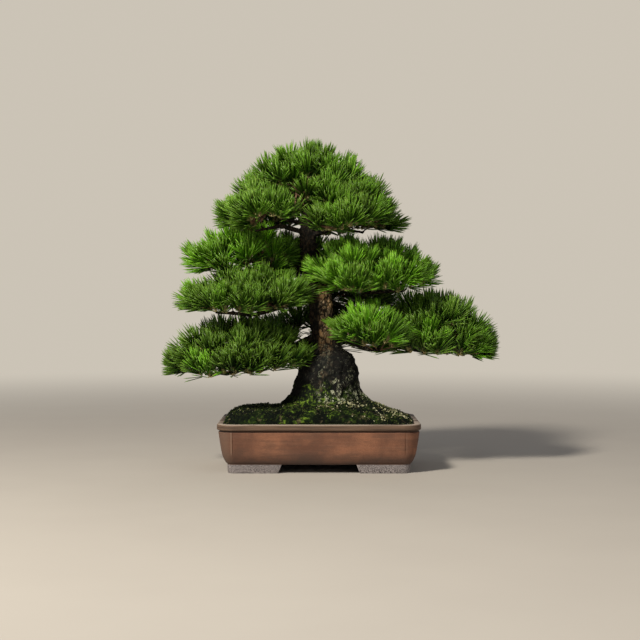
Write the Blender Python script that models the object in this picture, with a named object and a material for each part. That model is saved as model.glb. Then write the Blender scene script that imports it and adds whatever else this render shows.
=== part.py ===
"""Japanese black pine bonsai in an unglazed clay pot, in metres, +Z up, front towards -Y."""

import math
import random

import bmesh
import bpy
import numpy as np
from mathutils import Matrix, Vector, noise

# Pot, measured at the rim
RIM_LENGTH = 0.345
RIM_DEPTH = 0.240
CORNER_RADIUS = 0.032
POT_HEIGHT = 0.0833
CORNER_STEPS = 4
GROOVE_FROM_CORNER = 0.024
GROOVE_SIDE = 0.0016
FOOT_GAP_FRONT = 0.130
FOOT_GAP_SIDE = 0.100
DRAIN_RADIUS = 0.011
DRAIN_OFFSET = 0.068

# Moss and soil
MOSS_EDGE_Z = 0.0815
MOSS_RISE = 0.0205
MOUND_RISE = 0.026
MOUND_X = 0.026
MOSS_THICKNESS = 0.006
TERRAIN_X = 12
TERRAIN_Y = 7
GAP = 0.0003

# Trunk
TRUNK_SIDES = 16
STUMP_BOTTOM = 0.060
BARK_RELIEF = 0.0020

# Needles
NEEDLE_LENGTH = 0.048
SHOOT_RADIUS = 0.0020
BAND_HEIGHT = 0.0028
NEEDLE_GAP = 0.0007
FAN_LOW = 58
FAN_HIGH = 14
SEED = 7

random.seed(SEED)


# Scene helpers
for old in list(bpy.data.objects):
    bpy.data.objects.remove(old, do_unlink=True)

scene = bpy.context.scene
part = bpy.data.collections.new("japanese_black_pine_bonsai")
scene.collection.children.link(part)
cutters = bpy.data.collections.new("cutters")
scene.collection.children.link(cutters)
cutters.hide_render = True

root = bpy.data.objects.new("bonsai_root", None)
part.objects.link(root)


def material(name, color, roughness):
    mat = bpy.data.materials.new(name)
    mat.use_nodes = True
    shader = mat.node_tree.nodes["Principled BSDF"]
    shader.inputs["Base Color"].default_value = (*color, 1.0)
    shader.inputs["Roughness"].default_value = roughness
    mat.diffuse_color = (*color, 1.0)
    return mat


CLAY = material("unglazed_clay", (0.20, 0.085, 0.050), 0.8)
SOIL = material("akadama_soil", (0.16, 0.085, 0.045), 0.95)
MOSS = material("moss", (0.055, 0.095, 0.012), 0.95)
BARK = material("pine_bark", (0.050, 0.040, 0.034), 0.9)
NEEDLE = material("pine_needles", (0.060, 0.160, 0.020), 0.5)
NET = material("drain_net", (0.03, 0.03, 0.03), 0.6)


def new_object(name, bm, turn_out=True):
    mesh = bpy.data.meshes.new(name)
    if turn_out:
        bmesh.ops.recalc_face_normals(bm, faces=bm.faces)
    bm.to_mesh(mesh)
    bm.free()
    obj = bpy.data.objects.new(name, mesh)
    cutters.objects.link(obj)
    obj.hide_render = True
    obj.display_type = "WIRE"
    return obj


def finish(obj, name, mat):
    """Move a baked solid from the cutters into the part."""
    cutters.objects.unlink(obj)
    part.objects.link(obj)
    obj.name = name
    obj.data.name = name
    obj.hide_render = False
    obj.display_type = "TEXTURED"
    obj.data.materials.clear()
    obj.data.materials.append(mat)
    obj.parent = root
    return obj


def bake(obj):
    """Apply every modifier of an object."""
    bpy.context.view_layer.update()
    graph = bpy.context.evaluated_depsgraph_get()
    mesh = bpy.data.meshes.new_from_object(obj.evaluated_get(graph))
    obj.modifiers.clear()
    obj.data = mesh
    return obj


def boolean(obj, operation, tools, solver="EXACT"):
    """Combine an object with a list of others through one collection, apply it and drop the others."""
    group = bpy.data.collections.new("operands")
    cutters.children.link(group)
    for tool in tools:
        cutters.objects.unlink(tool)
        group.objects.link(tool)
    mod = obj.modifiers.new(operation.lower(), "BOOLEAN")
    mod.operation = operation
    mod.solver = solver
    mod.operand_type = "COLLECTION"
    mod.collection = group
    bake(obj)
    for tool in tools:
        bpy.data.objects.remove(tool, do_unlink=True)
    bpy.data.collections.remove(group)
    return obj


def rings_solid(rings):
    """Extrude a capped circle from ring to ring, each ring being a list of points with the same count."""
    bm = bmesh.new()
    bmesh.ops.create_circle(bm, cap_ends=True, segments=len(rings[0]), radius=1.0)
    bm.faces.ensure_lookup_table()
    face = bm.faces[0]
    for vert, point in zip(face.verts, rings[0]):
        vert.co = point
    for ring in rings[1:]:
        out = bmesh.ops.extrude_discrete_faces(bm, faces=[face])
        face = out["faces"][0]
        for vert, point in zip(face.verts, ring):
            vert.co = point
    bmesh.ops.holes_fill(bm, edges=[e for e in bm.edges if e.is_boundary], sides=0)
    return bm


def outline(offset, z, half_x=RIM_LENGTH / 2, half_y=RIM_DEPTH / 2, radius=CORNER_RADIUS):
    """A rounded rectangle moved outwards by an offset."""
    points = []
    r = max(radius + offset, 0.004)
    hx = half_x + offset - r
    hy = half_y + offset - r
    for corner, (sx, sy) in enumerate(((1, 1), (-1, 1), (-1, -1), (1, -1))):
        for step in range(CORNER_STEPS + 1):
            angle = math.radians(90 * corner + 90 * step / CORNER_STEPS)
            points.append(Vector((sx * hx + r * math.cos(angle), sy * hy + r * math.sin(angle), z)))
    return points


def box(name, low, high):
    bm = bmesh.new()
    bmesh.ops.create_cube(bm, size=1.0)
    low = Vector(low)
    high = Vector(high)
    size = high - low
    for vert in bm.verts:
        vert.co = (low + high) / 2 + Vector((vert.co.x * size.x, vert.co.y * size.y, vert.co.z * size.z))
    return new_object(name, bm)


def cylinder(name, x, y, z_low, z_high, radius, sides):
    bm = bmesh.new()
    bmesh.ops.create_cone(
        bm, cap_ends=True, segments=sides, radius1=radius, radius2=radius, depth=z_high - z_low
    )
    bmesh.ops.translate(bm, verts=bm.verts, vec=(x, y, (z_low + z_high) / 2))
    return new_object(name, bm)


# Pot: outer rings from the underside up, inner rings from the floor up, as (offset from the rim, height)
OUTER = (
    (-0.0220, 0.0145),
    (-0.0165, 0.0165),
    (-0.0120, 0.0235),
    (-0.0085, 0.0330),
    (-0.0050, 0.0520),
    (-0.0025, 0.0690),
    (-0.0042, 0.0705),
    (-0.0042, 0.0722),
    (-0.0008, 0.0732),
    (0.0000, 0.0745),
    (0.0000, 0.0815),
    (-0.0016, POT_HEIGHT),
)
INNER = (
    (-0.0280, 0.0225),
    (-0.0215, 0.0255),
    (-0.0170, 0.0345),
    (-0.0135, 0.0600),
    (-0.0110, 0.0815),
)


def make_pot():
    pot = new_object("pot", rings_solid([outline(u, z) for u, z in OUTER]))
    skirt = new_object("skirt", rings_solid([outline(-0.0185, 0.0), outline(-0.0172, 0.0178)]))
    inner_skirt = new_object("skirt_core", rings_solid([outline(-0.046, -0.01), outline(-0.044, 0.0250)]))
    gaps = [inner_skirt]
    for along_x in (True, False):
        gap = FOOT_GAP_FRONT if along_x else FOOT_GAP_SIDE
        bm = bmesh.new()
        low = (gap / 2 + 0.006) * 2 ** 0.5
        high = (gap / 2 - 0.004) * 2 ** 0.5
        bmesh.ops.create_cone(bm, cap_ends=True, segments=4, radius1=low, radius2=high, depth=0.040)
        bmesh.ops.rotate(bm, verts=bm.verts, matrix=Matrix.Rotation(math.radians(45), 3, "Z"))
        stretch = (1, 3.6, 1) if along_x else (5.2, 1, 1)
        bmesh.ops.scale(bm, verts=bm.verts, vec=stretch)
        bmesh.ops.translate(bm, verts=bm.verts, vec=(0, 0, 0.008))
        gaps.append(new_object("foot_gap", bm))
    # The feet end just under the body, and each is a piece of its own, so that the space between them stays open
    gaps.append(new_object("body_room", rings_solid([outline(u + GAP, z - GAP) for u, z in OUTER[:4]])))
    boolean(skirt, "DIFFERENCE", gaps)
    for sx, side in ((-1, "left"), (1, "right")):
        for sy, face in ((-1, "front"), (1, "back")):
            bm = bmesh.new()
            bm.from_mesh(skirt.data)
            foot = new_object("foot", bm, turn_out=False)
            low = (min(sx * 0.3, 0), min(sy * 0.3, 0), -0.02)
            high = (max(sx * 0.3, 0), max(sy * 0.3, 0), 0.05)
            boolean(foot, "INTERSECT", [box("quarter", low, high)])
            finish(foot, "foot_" + face + "_" + side, CLAY)
    bpy.data.objects.remove(skirt, do_unlink=True)
    cavity = [outline(u, z) for u, z in INNER]
    cavity.append(outline(-0.0100, POT_HEIGHT))
    cavity.append(outline(-0.0100, POT_HEIGHT + 0.01))
    tools = [new_object("cavity", rings_solid(cavity))]
    for side in (-1, 1):
        tools.append(cylinder("drain", side * DRAIN_OFFSET, 0, 0.005, 0.040, DRAIN_RADIUS, 16))
    # Thin square rods laid into the wall near each corner leave the upright grooves
    for sx in (-1, 1):
        for sy in (-1, 1):
            for on_front in (True, False):
                low = Vector((sx * (RIM_LENGTH / 2 - 0.0085), sy * (RIM_DEPTH / 2 - 0.0085), 0.0335))
                high = Vector((sx * (RIM_LENGTH / 2 - 0.0024), sy * (RIM_DEPTH / 2 - 0.0024), 0.0690))
                for end in (low, high):
                    if on_front:
                        end.x = sx * (RIM_LENGTH / 2 - GROOVE_FROM_CORNER - 0.004)
                    else:
                        end.y = sy * (RIM_DEPTH / 2 - GROOVE_FROM_CORNER - 0.004)
                middle = (low + high) / 2
                slope = (high - low).normalized()
                bm = bmesh.new()
                bmesh.ops.create_cube(bm, size=1.0)
                long = (high - low).length + 0.012
                bmesh.ops.scale(bm, verts=bm.verts, vec=(GROOVE_SIDE, GROOVE_SIDE, long))
                bmesh.ops.rotate(bm, verts=bm.verts, matrix=Matrix.Rotation(math.radians(45), 3, "Z"))
                turn = Vector((0, 0, 1)).rotation_difference(slope).to_matrix()
                bmesh.ops.rotate(bm, verts=bm.verts, matrix=turn)
                bmesh.ops.translate(bm, verts=bm.verts, vec=middle - slope * 0.004)
                tools.append(new_object("corner_groove", bm))
    boolean(pot, "DIFFERENCE", tools)
    return finish(pot, "pot", CLAY)


# Trunk: height, centre x, centre y, radius, share of the root flare
TRUNK = (
    (0.1120, 0.0120, 0.000, 0.0540, 1.00),
    (0.1190, 0.0125, 0.000, 0.0540, 0.72),
    (0.1270, 0.0130, 0.000, 0.0538, 0.42),
    (0.1370, 0.0130, 0.000, 0.0530, 0.22),
    (0.1500, 0.0140, 0.000, 0.0535, 0.10),
    (0.1640, 0.0155, 0.000, 0.0520, 0.04),
    (0.1780, 0.0165, 0.001, 0.0498, 0.00),
    (0.1880, 0.0188, 0.001, 0.0450, 0.00),
    (0.1965, 0.0192, 0.001, 0.0375, 0.00),
    (0.2040, 0.0160, 0.001, 0.0290, 0.00),
    (0.2150, 0.0122, 0.000, 0.0238, 0.00),
    (0.2300, 0.0095, 0.000, 0.0228, 0.00),
    (0.2460, 0.0070, 0.000, 0.0230, 0.00),
    (0.2620, 0.0055, 0.001, 0.0225, 0.00),
    (0.2800, 0.0040, 0.002, 0.0212, 0.00),
    (0.2980, 0.0025, 0.003, 0.0205, 0.00),
    (0.3180, -0.0020, 0.004, 0.0200, 0.00),
    (0.3400, -0.0090, 0.004, 0.0190, 0.00),
    (0.3640, -0.0150, 0.004, 0.0175, 0.00),
    (0.3880, -0.0190, 0.002, 0.0155, 0.00),
    (0.4120, -0.0205, 0.000, 0.0135, 0.00),
    (0.4360, -0.0200, -0.002, 0.0110, 0.00),
    (0.4600, -0.0210, -0.003, 0.0085, 0.00),
    (0.4820, -0.0220, -0.002, 0.0060, 0.00),
    (0.4980, -0.0200, 0.000, 0.0038, 0.00),
)
# Roots: direction in degrees, reach beyond the trunk, width in degrees
ROOTS = (
    (182, 0.026, 20),
    (358, 0.030, 22),
    (232, 0.016, 15),
    (262, 0.010, 12),
    (300, 0.018, 16),
    (48, 0.018, 20),
    (105, 0.015, 18),
    (145, 0.016, 15),
)


def trunk_ring(z, cx, cy, radius, flare, extra=0.0, relief=1.0):
    points = []
    for k in range(TRUNK_SIDES):
        angle = 2 * math.pi * k / TRUNK_SIDES
        r = radius
        for heading, reach, width in ROOTS:
            turn = (math.degrees(angle) - heading + 180) % 360 - 180
            r += reach * flare * math.exp(-((turn / width) ** 2))
        if relief:
            spot = Vector((math.cos(angle) * 2.2, math.sin(angle) * 2.2, z * 42))
            r += BARK_RELIEF * relief * noise.noise(spot) * min(1.0, radius / 0.02)
        r += extra
        points.append(Vector((cx + r * math.cos(angle), cy + 0.88 * r * math.sin(angle), z)))
    return points


def trunk_at(z):
    """Centre and radius of the trunk at a height."""
    rows = np.array(TRUNK)
    return (
        Vector((np.interp(z, rows[:, 0], rows[:, 1]), np.interp(z, rows[:, 0], rows[:, 2]), z)),
        float(np.interp(z, rows[:, 0], rows[:, 3])),
    )


def stump_solid(name, top, extra):
    rings = [trunk_ring(STUMP_BOTTOM - extra, *TRUNK[0][1:], extra, 0.0)]
    rings.append(trunk_ring(TRUNK[0][0], *TRUNK[0][1:], extra, 0.0))
    rings.append(trunk_ring(top, *TRUNK[0][1:], extra, 0.0))
    return new_object(name, rings_solid(rings))


# Moss and soil
def mound(x, y):
    """Height of the moss surface."""
    hx = RIM_LENGTH / 2 - 0.0100
    hy = RIM_DEPTH / 2 - 0.0100
    reach = min(((abs(x) / hx) ** 5 + (abs(y) / hy) ** 5) ** 0.2, 1.0)
    steep = 16 - 12 * min(max(x / 0.12, 0.0), 1.0)
    z = MOSS_EDGE_Z + MOSS_RISE * (1 - reach ** steep)
    z += MOUND_RISE * math.exp(-(((x - MOUND_X) / 0.072) ** 2 + (y / 0.058) ** 2))
    z += 0.0022 * noise.noise(Vector((x * 28, y * 28, 0.3)))
    return z


def terrain(name, top, bottom):
    """A triangulated sheet between two heights."""
    bm = bmesh.new()
    bmesh.ops.create_grid(bm, x_segments=TERRAIN_X, y_segments=TERRAIN_Y, size=1.0)
    for vert in bm.verts:
        vert.co.x *= RIM_LENGTH / 2 + 0.006
        vert.co.y *= RIM_DEPTH / 2 + 0.006
    bmesh.ops.triangulate(bm, faces=bm.faces)
    out = bmesh.ops.extrude_face_region(bm, geom=list(bm.faces))
    raised = {g for g in out["geom"] if isinstance(g, bmesh.types.BMVert)}
    for vert in bm.verts:
        vert.co.z = top(vert.co.x, vert.co.y) if vert in raised else bottom(vert.co.x, vert.co.y)
    return new_object(name, bm)


def filling(name, top_z):
    rings = [outline(u - GAP, z + GAP) for u, z in INNER]
    rings.append(outline(-0.0100 - GAP, POT_HEIGHT))
    rings.append(outline(-0.0100 - GAP, top_z))
    return new_object(name, rings_solid(rings))


def soil_top(x, y):
    return mound(x, y) - MOSS_THICKNESS - GAP


def make_ground():
    soil = filling("soil", 0.16)
    sheet = terrain("soil_sheet", soil_top, lambda x, y: 0.0)
    boolean(soil, "INTERSECT", [sheet])
    tools = [stump_solid("stump_hole", 0.20, 2.2 * GAP)]
    for side in (-1, 1):
        x = side * DRAIN_OFFSET
        room_low = (x - 0.0163, -0.0163, 0.0)
        room_high = (x + 0.0163, 0.0163, 0.0246)
        tools.append(box("screen_room", room_low, room_high))
    boolean(soil, "DIFFERENCE", tools)
    finish(soil, "soil", SOIL)

    moss = terrain("moss", mound, lambda x, y: mound(x, y) - MOSS_THICKNESS)
    boolean(moss, "INTERSECT", [filling("moss_room", 0.16)])
    boolean(moss, "DIFFERENCE", [stump_solid("moss_hole", 0.20, 2.2 * GAP)])
    finish(moss, "moss", MOSS)

    for side, word in ((-1, "left"), (1, "right")):
        x = side * DRAIN_OFFSET
        z = 0.0225 + GAP
        net = box("net", (x - 0.016, -0.016, z), (x + 0.016, 0.016, z + 0.0015))
        holes = []
        for i in (-1, 1):
            for j in (-1, 1):
                cx = x + i * 0.0065
                cy = j * 0.0065
                low = (cx - 0.005, cy - 0.005, 0.02)
                high = (cx + 0.005, cy + 0.005, 0.03)
                holes.append(box("net_hole", low, high))
        boolean(net, "DIFFERENCE", holes)
        finish(net, "screen_" + word, NET)


# Tubes and shoots
def frame_along(direction, previous=None):
    """Two axes across a direction, turned as little as possible from the previous ones."""
    direction = direction.normalized()
    if previous is None:
        across = direction.orthogonal().normalized()
    else:
        across = (previous - direction * previous.dot(direction)).normalized()
    return across, direction.cross(across)


def tube_rings(points, radii, sides):
    rings = []
    across = None
    for i, (point, radius) in enumerate(zip(points, radii)):
        back = points[i] - points[i - 1] if i else points[1] - points[0]
        ahead = points[i + 1] - points[i] if i + 1 < len(points) else back
        across, other = frame_along(back.normalized() + ahead.normalized(), across)
        ring = []
        for k in range(sides):
            angle = 2 * math.pi * k / sides
            ring.append(point + (across * math.cos(angle) + other * math.sin(angle)) * radius)
        rings.append(ring)
    return rings, across


def tube(name, points, radii, sides):
    rings, _ = tube_rings(points, radii, sides)
    return new_object(name, rings_solid(rings))


class Room:
    """Every stem and needle placed so far, as tapered rods, to keep new needles clear of them."""

    def __init__(self):
        self.start = np.zeros((0, 3))
        self.end = np.zeros((0, 3))
        self.r0 = np.zeros(0)
        self.r1 = np.zeros(0)
        self.owner = np.zeros(0, int)

    def add(self, start, end, r0, r1, owner):
        self.start = np.vstack([self.start, np.array(start)[None]])
        self.end = np.vstack([self.end, np.array(end)[None]])
        self.r0 = np.append(self.r0, r0)
        self.r1 = np.append(self.r1, r1)
        self.owner = np.append(self.owner, owner)

    def clearance(self, start, end, r0, r1, skip=()):
        p = np.array(start, float)
        q = np.array(end, float)
        keep = np.ones(len(self.r0), bool)
        for owner in skip:
            keep &= self.owner != owner
        middle = (self.start + self.end) / 2
        reach = np.linalg.norm(self.end - self.start, axis=1) / 2
        far = np.linalg.norm(middle - (p + q) / 2, axis=1)
        own = np.linalg.norm(q - p) / 2
        keep &= far < reach + own + self.r0 + self.r1 + r0 + 0.003
        if not keep.any():
            return 1.0
        a = self.start[keep]
        b = self.end[keep]
        ra = self.r0[keep]
        rb = self.r1[keep]
        d1 = q - p
        d2 = b - a
        r = p - a
        aa = float(d1 @ d1)
        ee = np.einsum("ij,ij->i", d2, d2)
        ff = np.einsum("ij,ij->i", d2, r)
        cc = r @ d1
        bb = d2 @ d1
        low = aa * ee - bb * bb
        s = np.clip(np.where(low > 1e-14, (bb * ff - cc * ee) / np.where(low > 1e-14, low, 1), 0.5), 0, 1)
        t = (bb * s + ff) / ee
        t = np.clip(t, 0, 1)
        s = np.clip((bb * t - cc) / aa, 0, 1)
        best = np.full(len(ra), 9.0)
        for ds in (0.0, -0.12, 0.12):
            s2 = np.clip(s + ds, 0, 1)
            x = p + s2[:, None] * d1
            t2 = np.clip(np.einsum("ij,ij->i", x - a, d2) / ee, 0, 1)
            y = a + t2[:, None] * d2
            gap = np.linalg.norm(x - y, axis=1) - (r0 + (r1 - r0) * s2) - (ra + (rb - ra) * t2)
            best = np.minimum(best, gap)
        return float(best.min())


room = Room()
WOOD_OWNER = -1

# Pads of foliage: centre x and y, half length and depth, height of the shoots at the edge and in the middle,
# outward lean of the edge shoots in degrees, number of shoots, how evenly they spread, and the branches
PADS = {
    "crown": dict(
        centre=(-0.019, 0.000), half=(0.133, 0.093), z=(0.413, 0.527), lean=60, count=42, crowd=0.43,
        branches=[
            (0.408, [(-0.065, -0.020, 0.420), (-0.116, -0.028, 0.410)]),
            (0.402, [(0.030, -0.018, 0.418), (0.078, -0.024, 0.408)]),
            (0.424, [(-0.060, 0.040, 0.434), (-0.090, 0.060, 0.424)]),
            (0.418, [(0.018, 0.040, 0.432), (0.048, 0.062, 0.422)]),
            (0.440, [(-0.022, -0.040, 0.440), (-0.026, -0.068, 0.424)]),
            (0.470, [(-0.055, -0.006, 0.482), (-0.078, -0.010, 0.480)]),
            (0.466, [(0.012, -0.004, 0.480), (0.036, -0.006, 0.476)]),
        ],
    ),
    "left_upper": dict(
        centre=(-0.138, 0.018), half=(0.064, 0.054), z=(0.334, 0.374), lean=60, count=13, crowd=0.5,
        branches=[(0.352, [(-0.060, 0.010, 0.338), (-0.105, 0.020, 0.326), (-0.165, 0.022, 0.326)])],
    ),
    "left_middle": dict(
        centre=(-0.121, -0.030), half=(0.088, 0.056), z=(0.280, 0.312), lean=62, count=16, crowd=0.5,
        branches=[(0.302, [(-0.050, -0.014, 0.284), (-0.110, -0.030, 0.266), (-0.180, -0.032, 0.270)])],
    ),
    "left_low": dict(
        centre=(-0.141, -0.002), half=(0.102, 0.070), z=(0.176, 0.224), lean=64, count=21, crowd=0.5,
        branches=[
            (
                0.236,
                [(-0.050, 0.000, 0.206), (-0.100, -0.014, 0.176), (-0.160, -0.018, 0.164), (-0.200, -0.012, 0.162)],
            ),
            (0.228, [(-0.052, 0.026, 0.200), (-0.110, 0.040, 0.172), (-0.150, 0.042, 0.166)]),
        ],
    ),
    "right_middle": dict(
        centre=(0.103, -0.014), half=(0.082, 0.060), z=(0.316, 0.358), lean=60, count=17, crowd=0.5,
        branches=[(0.312, [(0.040, -0.006, 0.312), (0.090, -0.014, 0.304), (0.150, -0.014, 0.308)])],
    ),
    "right_front": dict(
        centre=(0.088, -0.064), half=(0.040, 0.032), z=(0.224, 0.248), lean=52, count=7, crowd=0.5,
        branches=[(0.246, [(0.045, -0.026, 0.224), (0.080, -0.054, 0.208), (0.106, -0.066, 0.206)])],
    ),
    "right_low": dict(
        centre=(0.201, 0.010), half=(0.088, 0.062), z=(0.212, 0.262), lean=60, count=18, crowd=0.5,
        branches=[
            (
                0.258,
                [(0.055, 0.006, 0.238), (0.115, 0.012, 0.214), (0.175, 0.012, 0.202), (0.226, 0.010, 0.200)],
            ),
        ],
    ),
    "back_low": dict(
        centre=(-0.010, 0.096), half=(0.070, 0.044), z=(0.222, 0.250), lean=58, count=11, crowd=0.5,
        branches=[(0.230, [(0.004, 0.045, 0.216), (-0.006, 0.085, 0.202), (-0.012, 0.112, 0.198)])],
    ),
    "back_right": dict(
        centre=(0.062, 0.092), half=(0.052, 0.036), z=(0.290, 0.314), lean=58, count=8, crowd=0.5,
        branches=[(0.292, [(0.025, 0.045, 0.286), (0.055, 0.085, 0.270), (0.072, 0.100, 0.268)])],
    ),
    "back_high": dict(
        centre=(-0.030, 0.098), half=(0.062, 0.038), z=(0.350, 0.376), lean=58, count=9, crowd=0.5,
        branches=[(0.340, [(-0.018, 0.045, 0.340), (-0.028, 0.085, 0.330), (-0.034, 0.106, 0.328)])],
    ),
}
SHOOTS_A_SPRAY = 3.75


def pad_shoots(pad):
    """Base and direction of each shoot of a pad, on a low dome."""
    out = []
    count = pad["count"]
    for i in range(count):
        r = ((i + 0.5) / count) ** pad["crowd"]
        angle = i * math.pi * (3 - math.sqrt(5)) + 0.7
        x = pad["half"][0] * r * math.cos(angle)
        y = pad["half"][1] * r * math.sin(angle)
        z = pad["z"][0] + (pad["z"][1] - pad["z"][0]) * (1 - r * r)
        base = Vector((pad["centre"][0] + x, pad["centre"][1] + y, z))
        base += Vector((random.uniform(-1, 1), random.uniform(-1, 1), random.uniform(-1, 1))) * 0.003
        away = Vector((x / pad["half"][0], y / pad["half"][1], 0)).normalized()
        lean = math.radians(pad["lean"]) * r ** 1.6 * (0.70 + 0.30 * abs(away.x))
        heading = away * math.sin(lean) + Vector((0, 0, math.cos(lean)))
        heading += Vector((random.uniform(-1, 1), random.uniform(-1, 1), 0)) * 0.10
        out.append((base, heading.normalized()))
    return out


def clusters(shoots, wanted):
    """Group shoots by nearness, a fixed number of groups, from spread out starts."""
    points = np.array([base for base, _ in shoots])
    centres = [points[np.argmax(points[:, 0])]]
    while len(centres) < wanted:
        far = np.min([np.linalg.norm(points - c, axis=1) for c in centres], axis=0)
        centres.append(points[np.argmax(far)])
    centres = np.array(centres)
    for _ in range(12):
        cost = np.linalg.norm(points[:, None] - centres[None], axis=2)
        label = np.full(len(points), -1)
        room_left = [math.ceil(len(points) / wanted) + 1] * wanted
        for i in np.argsort(cost.min(axis=1) - cost.max(axis=1)):
            for c in np.argsort(cost[i]):
                if room_left[c] > 0:
                    label[i] = c
                    room_left[c] -= 1
                    break
        for c in range(wanted):
            if (label == c).any():
                centres[c] = points[label == c].mean(axis=0)
    return [[shoots[i] for i in range(len(points)) if label[i] == c] for c in range(wanted)]


def nearest_on(lines, point):
    """The point of some polylines nearest to a point, with the line's radius there."""
    best = None
    for points, radii in lines:
        for i in range(len(points) - 1):
            a = points[i]
            d = points[i + 1] - a
            t = min(max((point - a).dot(d) / d.length_squared, 0.0), 1.0)
            spot = a + d * t
            far = (point - spot).length
            if best is None or far < best[0]:
                best = (far, spot, radii[i] + (radii[i + 1] - radii[i]) * t)
    return best[1], best[2]


def plan_tree():
    """Lay out the branches and enter them in the room, then group the shoots of each pad into sprays."""
    lines = {}
    for name, pad in PADS.items():
        lines[name] = []
        for height, ways in pad["branches"]:
            start, thick = trunk_at(height)
            points = [start] + [Vector(way) for way in ways]
            width = min(0.0075, thick * 0.42)
            radii = [width * (1 - 0.62 * i / (len(points) - 1)) for i in range(len(points))]
            lines[name].append((points, radii))
            for i in range(len(points) - 1):
                room.add(points[i], points[i + 1], radii[i], radii[i + 1], WOOD_OWNER)
    for low, high in zip(TRUNK[:-1], TRUNK[1:]):
        foot = (low[1], low[2], low[0])
        head = (high[1], high[2], high[0])
        room.add(foot, head, low[3] + 0.002, high[3] + 0.002, WOOD_OWNER)
    branches = [line for pad_lines in lines.values() for line in pad_lines]
    sprays = []
    for name, pad in PADS.items():
        shoots = []
        for base, heading in pad_shoots(pad):
            for _ in range(12):
                if room.clearance(base - heading * 0.010, base + heading * 0.009, 0.0025, 0.0025) > 0.002:
                    break
                base.z += 0.002
            shoots.append((base, heading))
        wanted = max(1, round(len(shoots) / SHOOTS_A_SPRAY))
        ways = list(lines[name])
        if name == "crown":
            ways.append(([trunk_at(z)[0] for z in (0.450, 0.475, 0.498)], [0.009, 0.006, 0.004]))
        for group in clusters(shoots, wanted):
            if not group:
                continue
            middle = sum((base for base, _ in group), Vector()) / len(group)
            mean = sum((heading for _, heading in group), Vector()).normalized()
            fork, thick = nearest_on(ways, middle - mean * 0.020)
            step = middle - fork
            start = fork + step * 0.48
            if (start - fork).length < thick + 0.010:
                start = fork + step.normalized() * (thick + 0.010)
            sprays.append((group, fork, start))
    return branches, sprays


def shoot_solid(points, radii, heading, owner):
    """A slim stem of three sides whose end bands are raised into needles, with the number of needles."""
    rings, across = tube_rings(points + [points[-1] + heading * 0.004], radii + [SHOOT_RADIUS], 3)
    rings = rings[:-1]
    tip = points[-1]
    across, other = frame_along(heading, across)
    bands = []
    for band, radius in enumerate((1.1, 0.95, 0.5)):
        centre = tip + heading * BAND_HEIGHT * (band + 1)
        ring = []
        for k in range(3):
            angle = 2 * math.pi * k / 3 + math.pi / 3 * (band + 1)
            way = across * math.cos(angle) + other * math.sin(angle)
            ring.append(centre + way * SHOOT_RADIUS * radius)
        bands.append(ring)
    bm = rings_solid(rings + bands)
    mates = Room()
    bmesh.ops.triangulate(bm, faces=[f for f in bm.faces if len(f.verts) > 3], quad_method="SHORT_EDGE")
    bmesh.ops.recalc_face_normals(bm, faces=bm.faces)
    top = BAND_HEIGHT * 3
    raised = []
    for face in bm.faces:
        centre = face.calc_center_median()
        height = (centre - tip).dot(heading)
        if height < 0.0006:
            continue
        share = min(height / top, 1.0)
        side = centre - tip - heading * height
        turn = math.atan2(side.dot(other), side.dot(across))
        lean = math.radians(FAN_LOW + (FAN_HIGH - FAN_LOW) * share)
        if share > 0.98:
            lean = math.radians(random.uniform(0, 6))
        for attempt in range(14):
            spread = 0.10 + 0.05 * attempt
            lean2 = max(lean + random.uniform(-1, 1) * spread, 0.0)
            turn2 = turn + random.uniform(-1, 1) * spread * 1.4
            length = NEEDLE_LENGTH * random.uniform(0.90, 1.06) * (1 - 0.10 * (1 - share))
            if attempt > 8:
                length *= 1.0 - 0.1 * (attempt - 8)
            way = heading * math.cos(lean2)
            way += (across * math.cos(turn2) + other * math.sin(turn2)) * math.sin(lean2)
            point = centre + way * length
            inner = centre + way * length * 0.14
            if mates.clearance(inner, point, 0.0008, 0.0001) < 0.0001:
                continue
            if room.clearance(centre + way * 0.002, point, 0.0015, 0.0001, (owner,)) > NEEDLE_GAP:
                raised.append((face, point))
                mates.add(inner, point, 0.0008, 0.0001, owner)
                room.add(centre + way * 0.002, point, 0.0015, 0.0001, owner)
                break
    for face, point in raised:
        out = bmesh.ops.poke(bm, faces=[face])
        out["verts"][0].co = point
    return new_object("shoot", bm, False), len(raised)


def plan_spray(group, fork, start):
    """Stems of one spray, a leader and its side stems, each with the heading of its shoot."""
    outward = (start - fork).normalized()
    leader = max(range(len(group)), key=lambda i: (group[i][0] - start).normalized().dot(outward))
    base, heading = group[leader]
    first = (outward * 0.6 + (base - start).normalized() * 0.4).normalized()
    bend = start + first * min(0.010, 0.4 * (base - start).length)
    stems = [([start, bend, base], [0.0019, 0.0018, 0.0017], heading)]
    others = [i for i in range(len(group)) if i != leader]
    for order, i in enumerate(others):
        side_base, side_heading = group[i]
        share = 0.15 + 0.5 * order / max(1, len(others) - 1)
        spot = bend + (base - bend) * share
        way = (side_base - spot).normalized()
        side_heading = (side_heading * 0.72 + way * 0.28).normalized()
        stems.append(([spot, side_base], [0.0009, 0.0016], side_heading))
    return first, stems


def stem_rods(number, fork, start, first, stems):
    """The rods of a spray and of its twig, with their owners."""
    rods = []
    for index, (points, radii, heading) in enumerate(stems):
        owner = 2000 + number * 10 + index
        for a, b in zip(points[:-1], points[1:]):
            rods.append((a, b, 0.0020, 0.0020, owner))
        rods.append((points[-1], points[-1] + heading * BAND_HEIGHT * 3, 0.0024, 0.0014, owner))
    end = start - first * GAP
    before = end - first * 0.008
    rods.append((fork, before, 0.0026, 0.0024, WOOD_OWNER))
    rods.append((before, end, 0.0024, 0.0022, WOOD_OWNER))
    return rods


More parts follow.
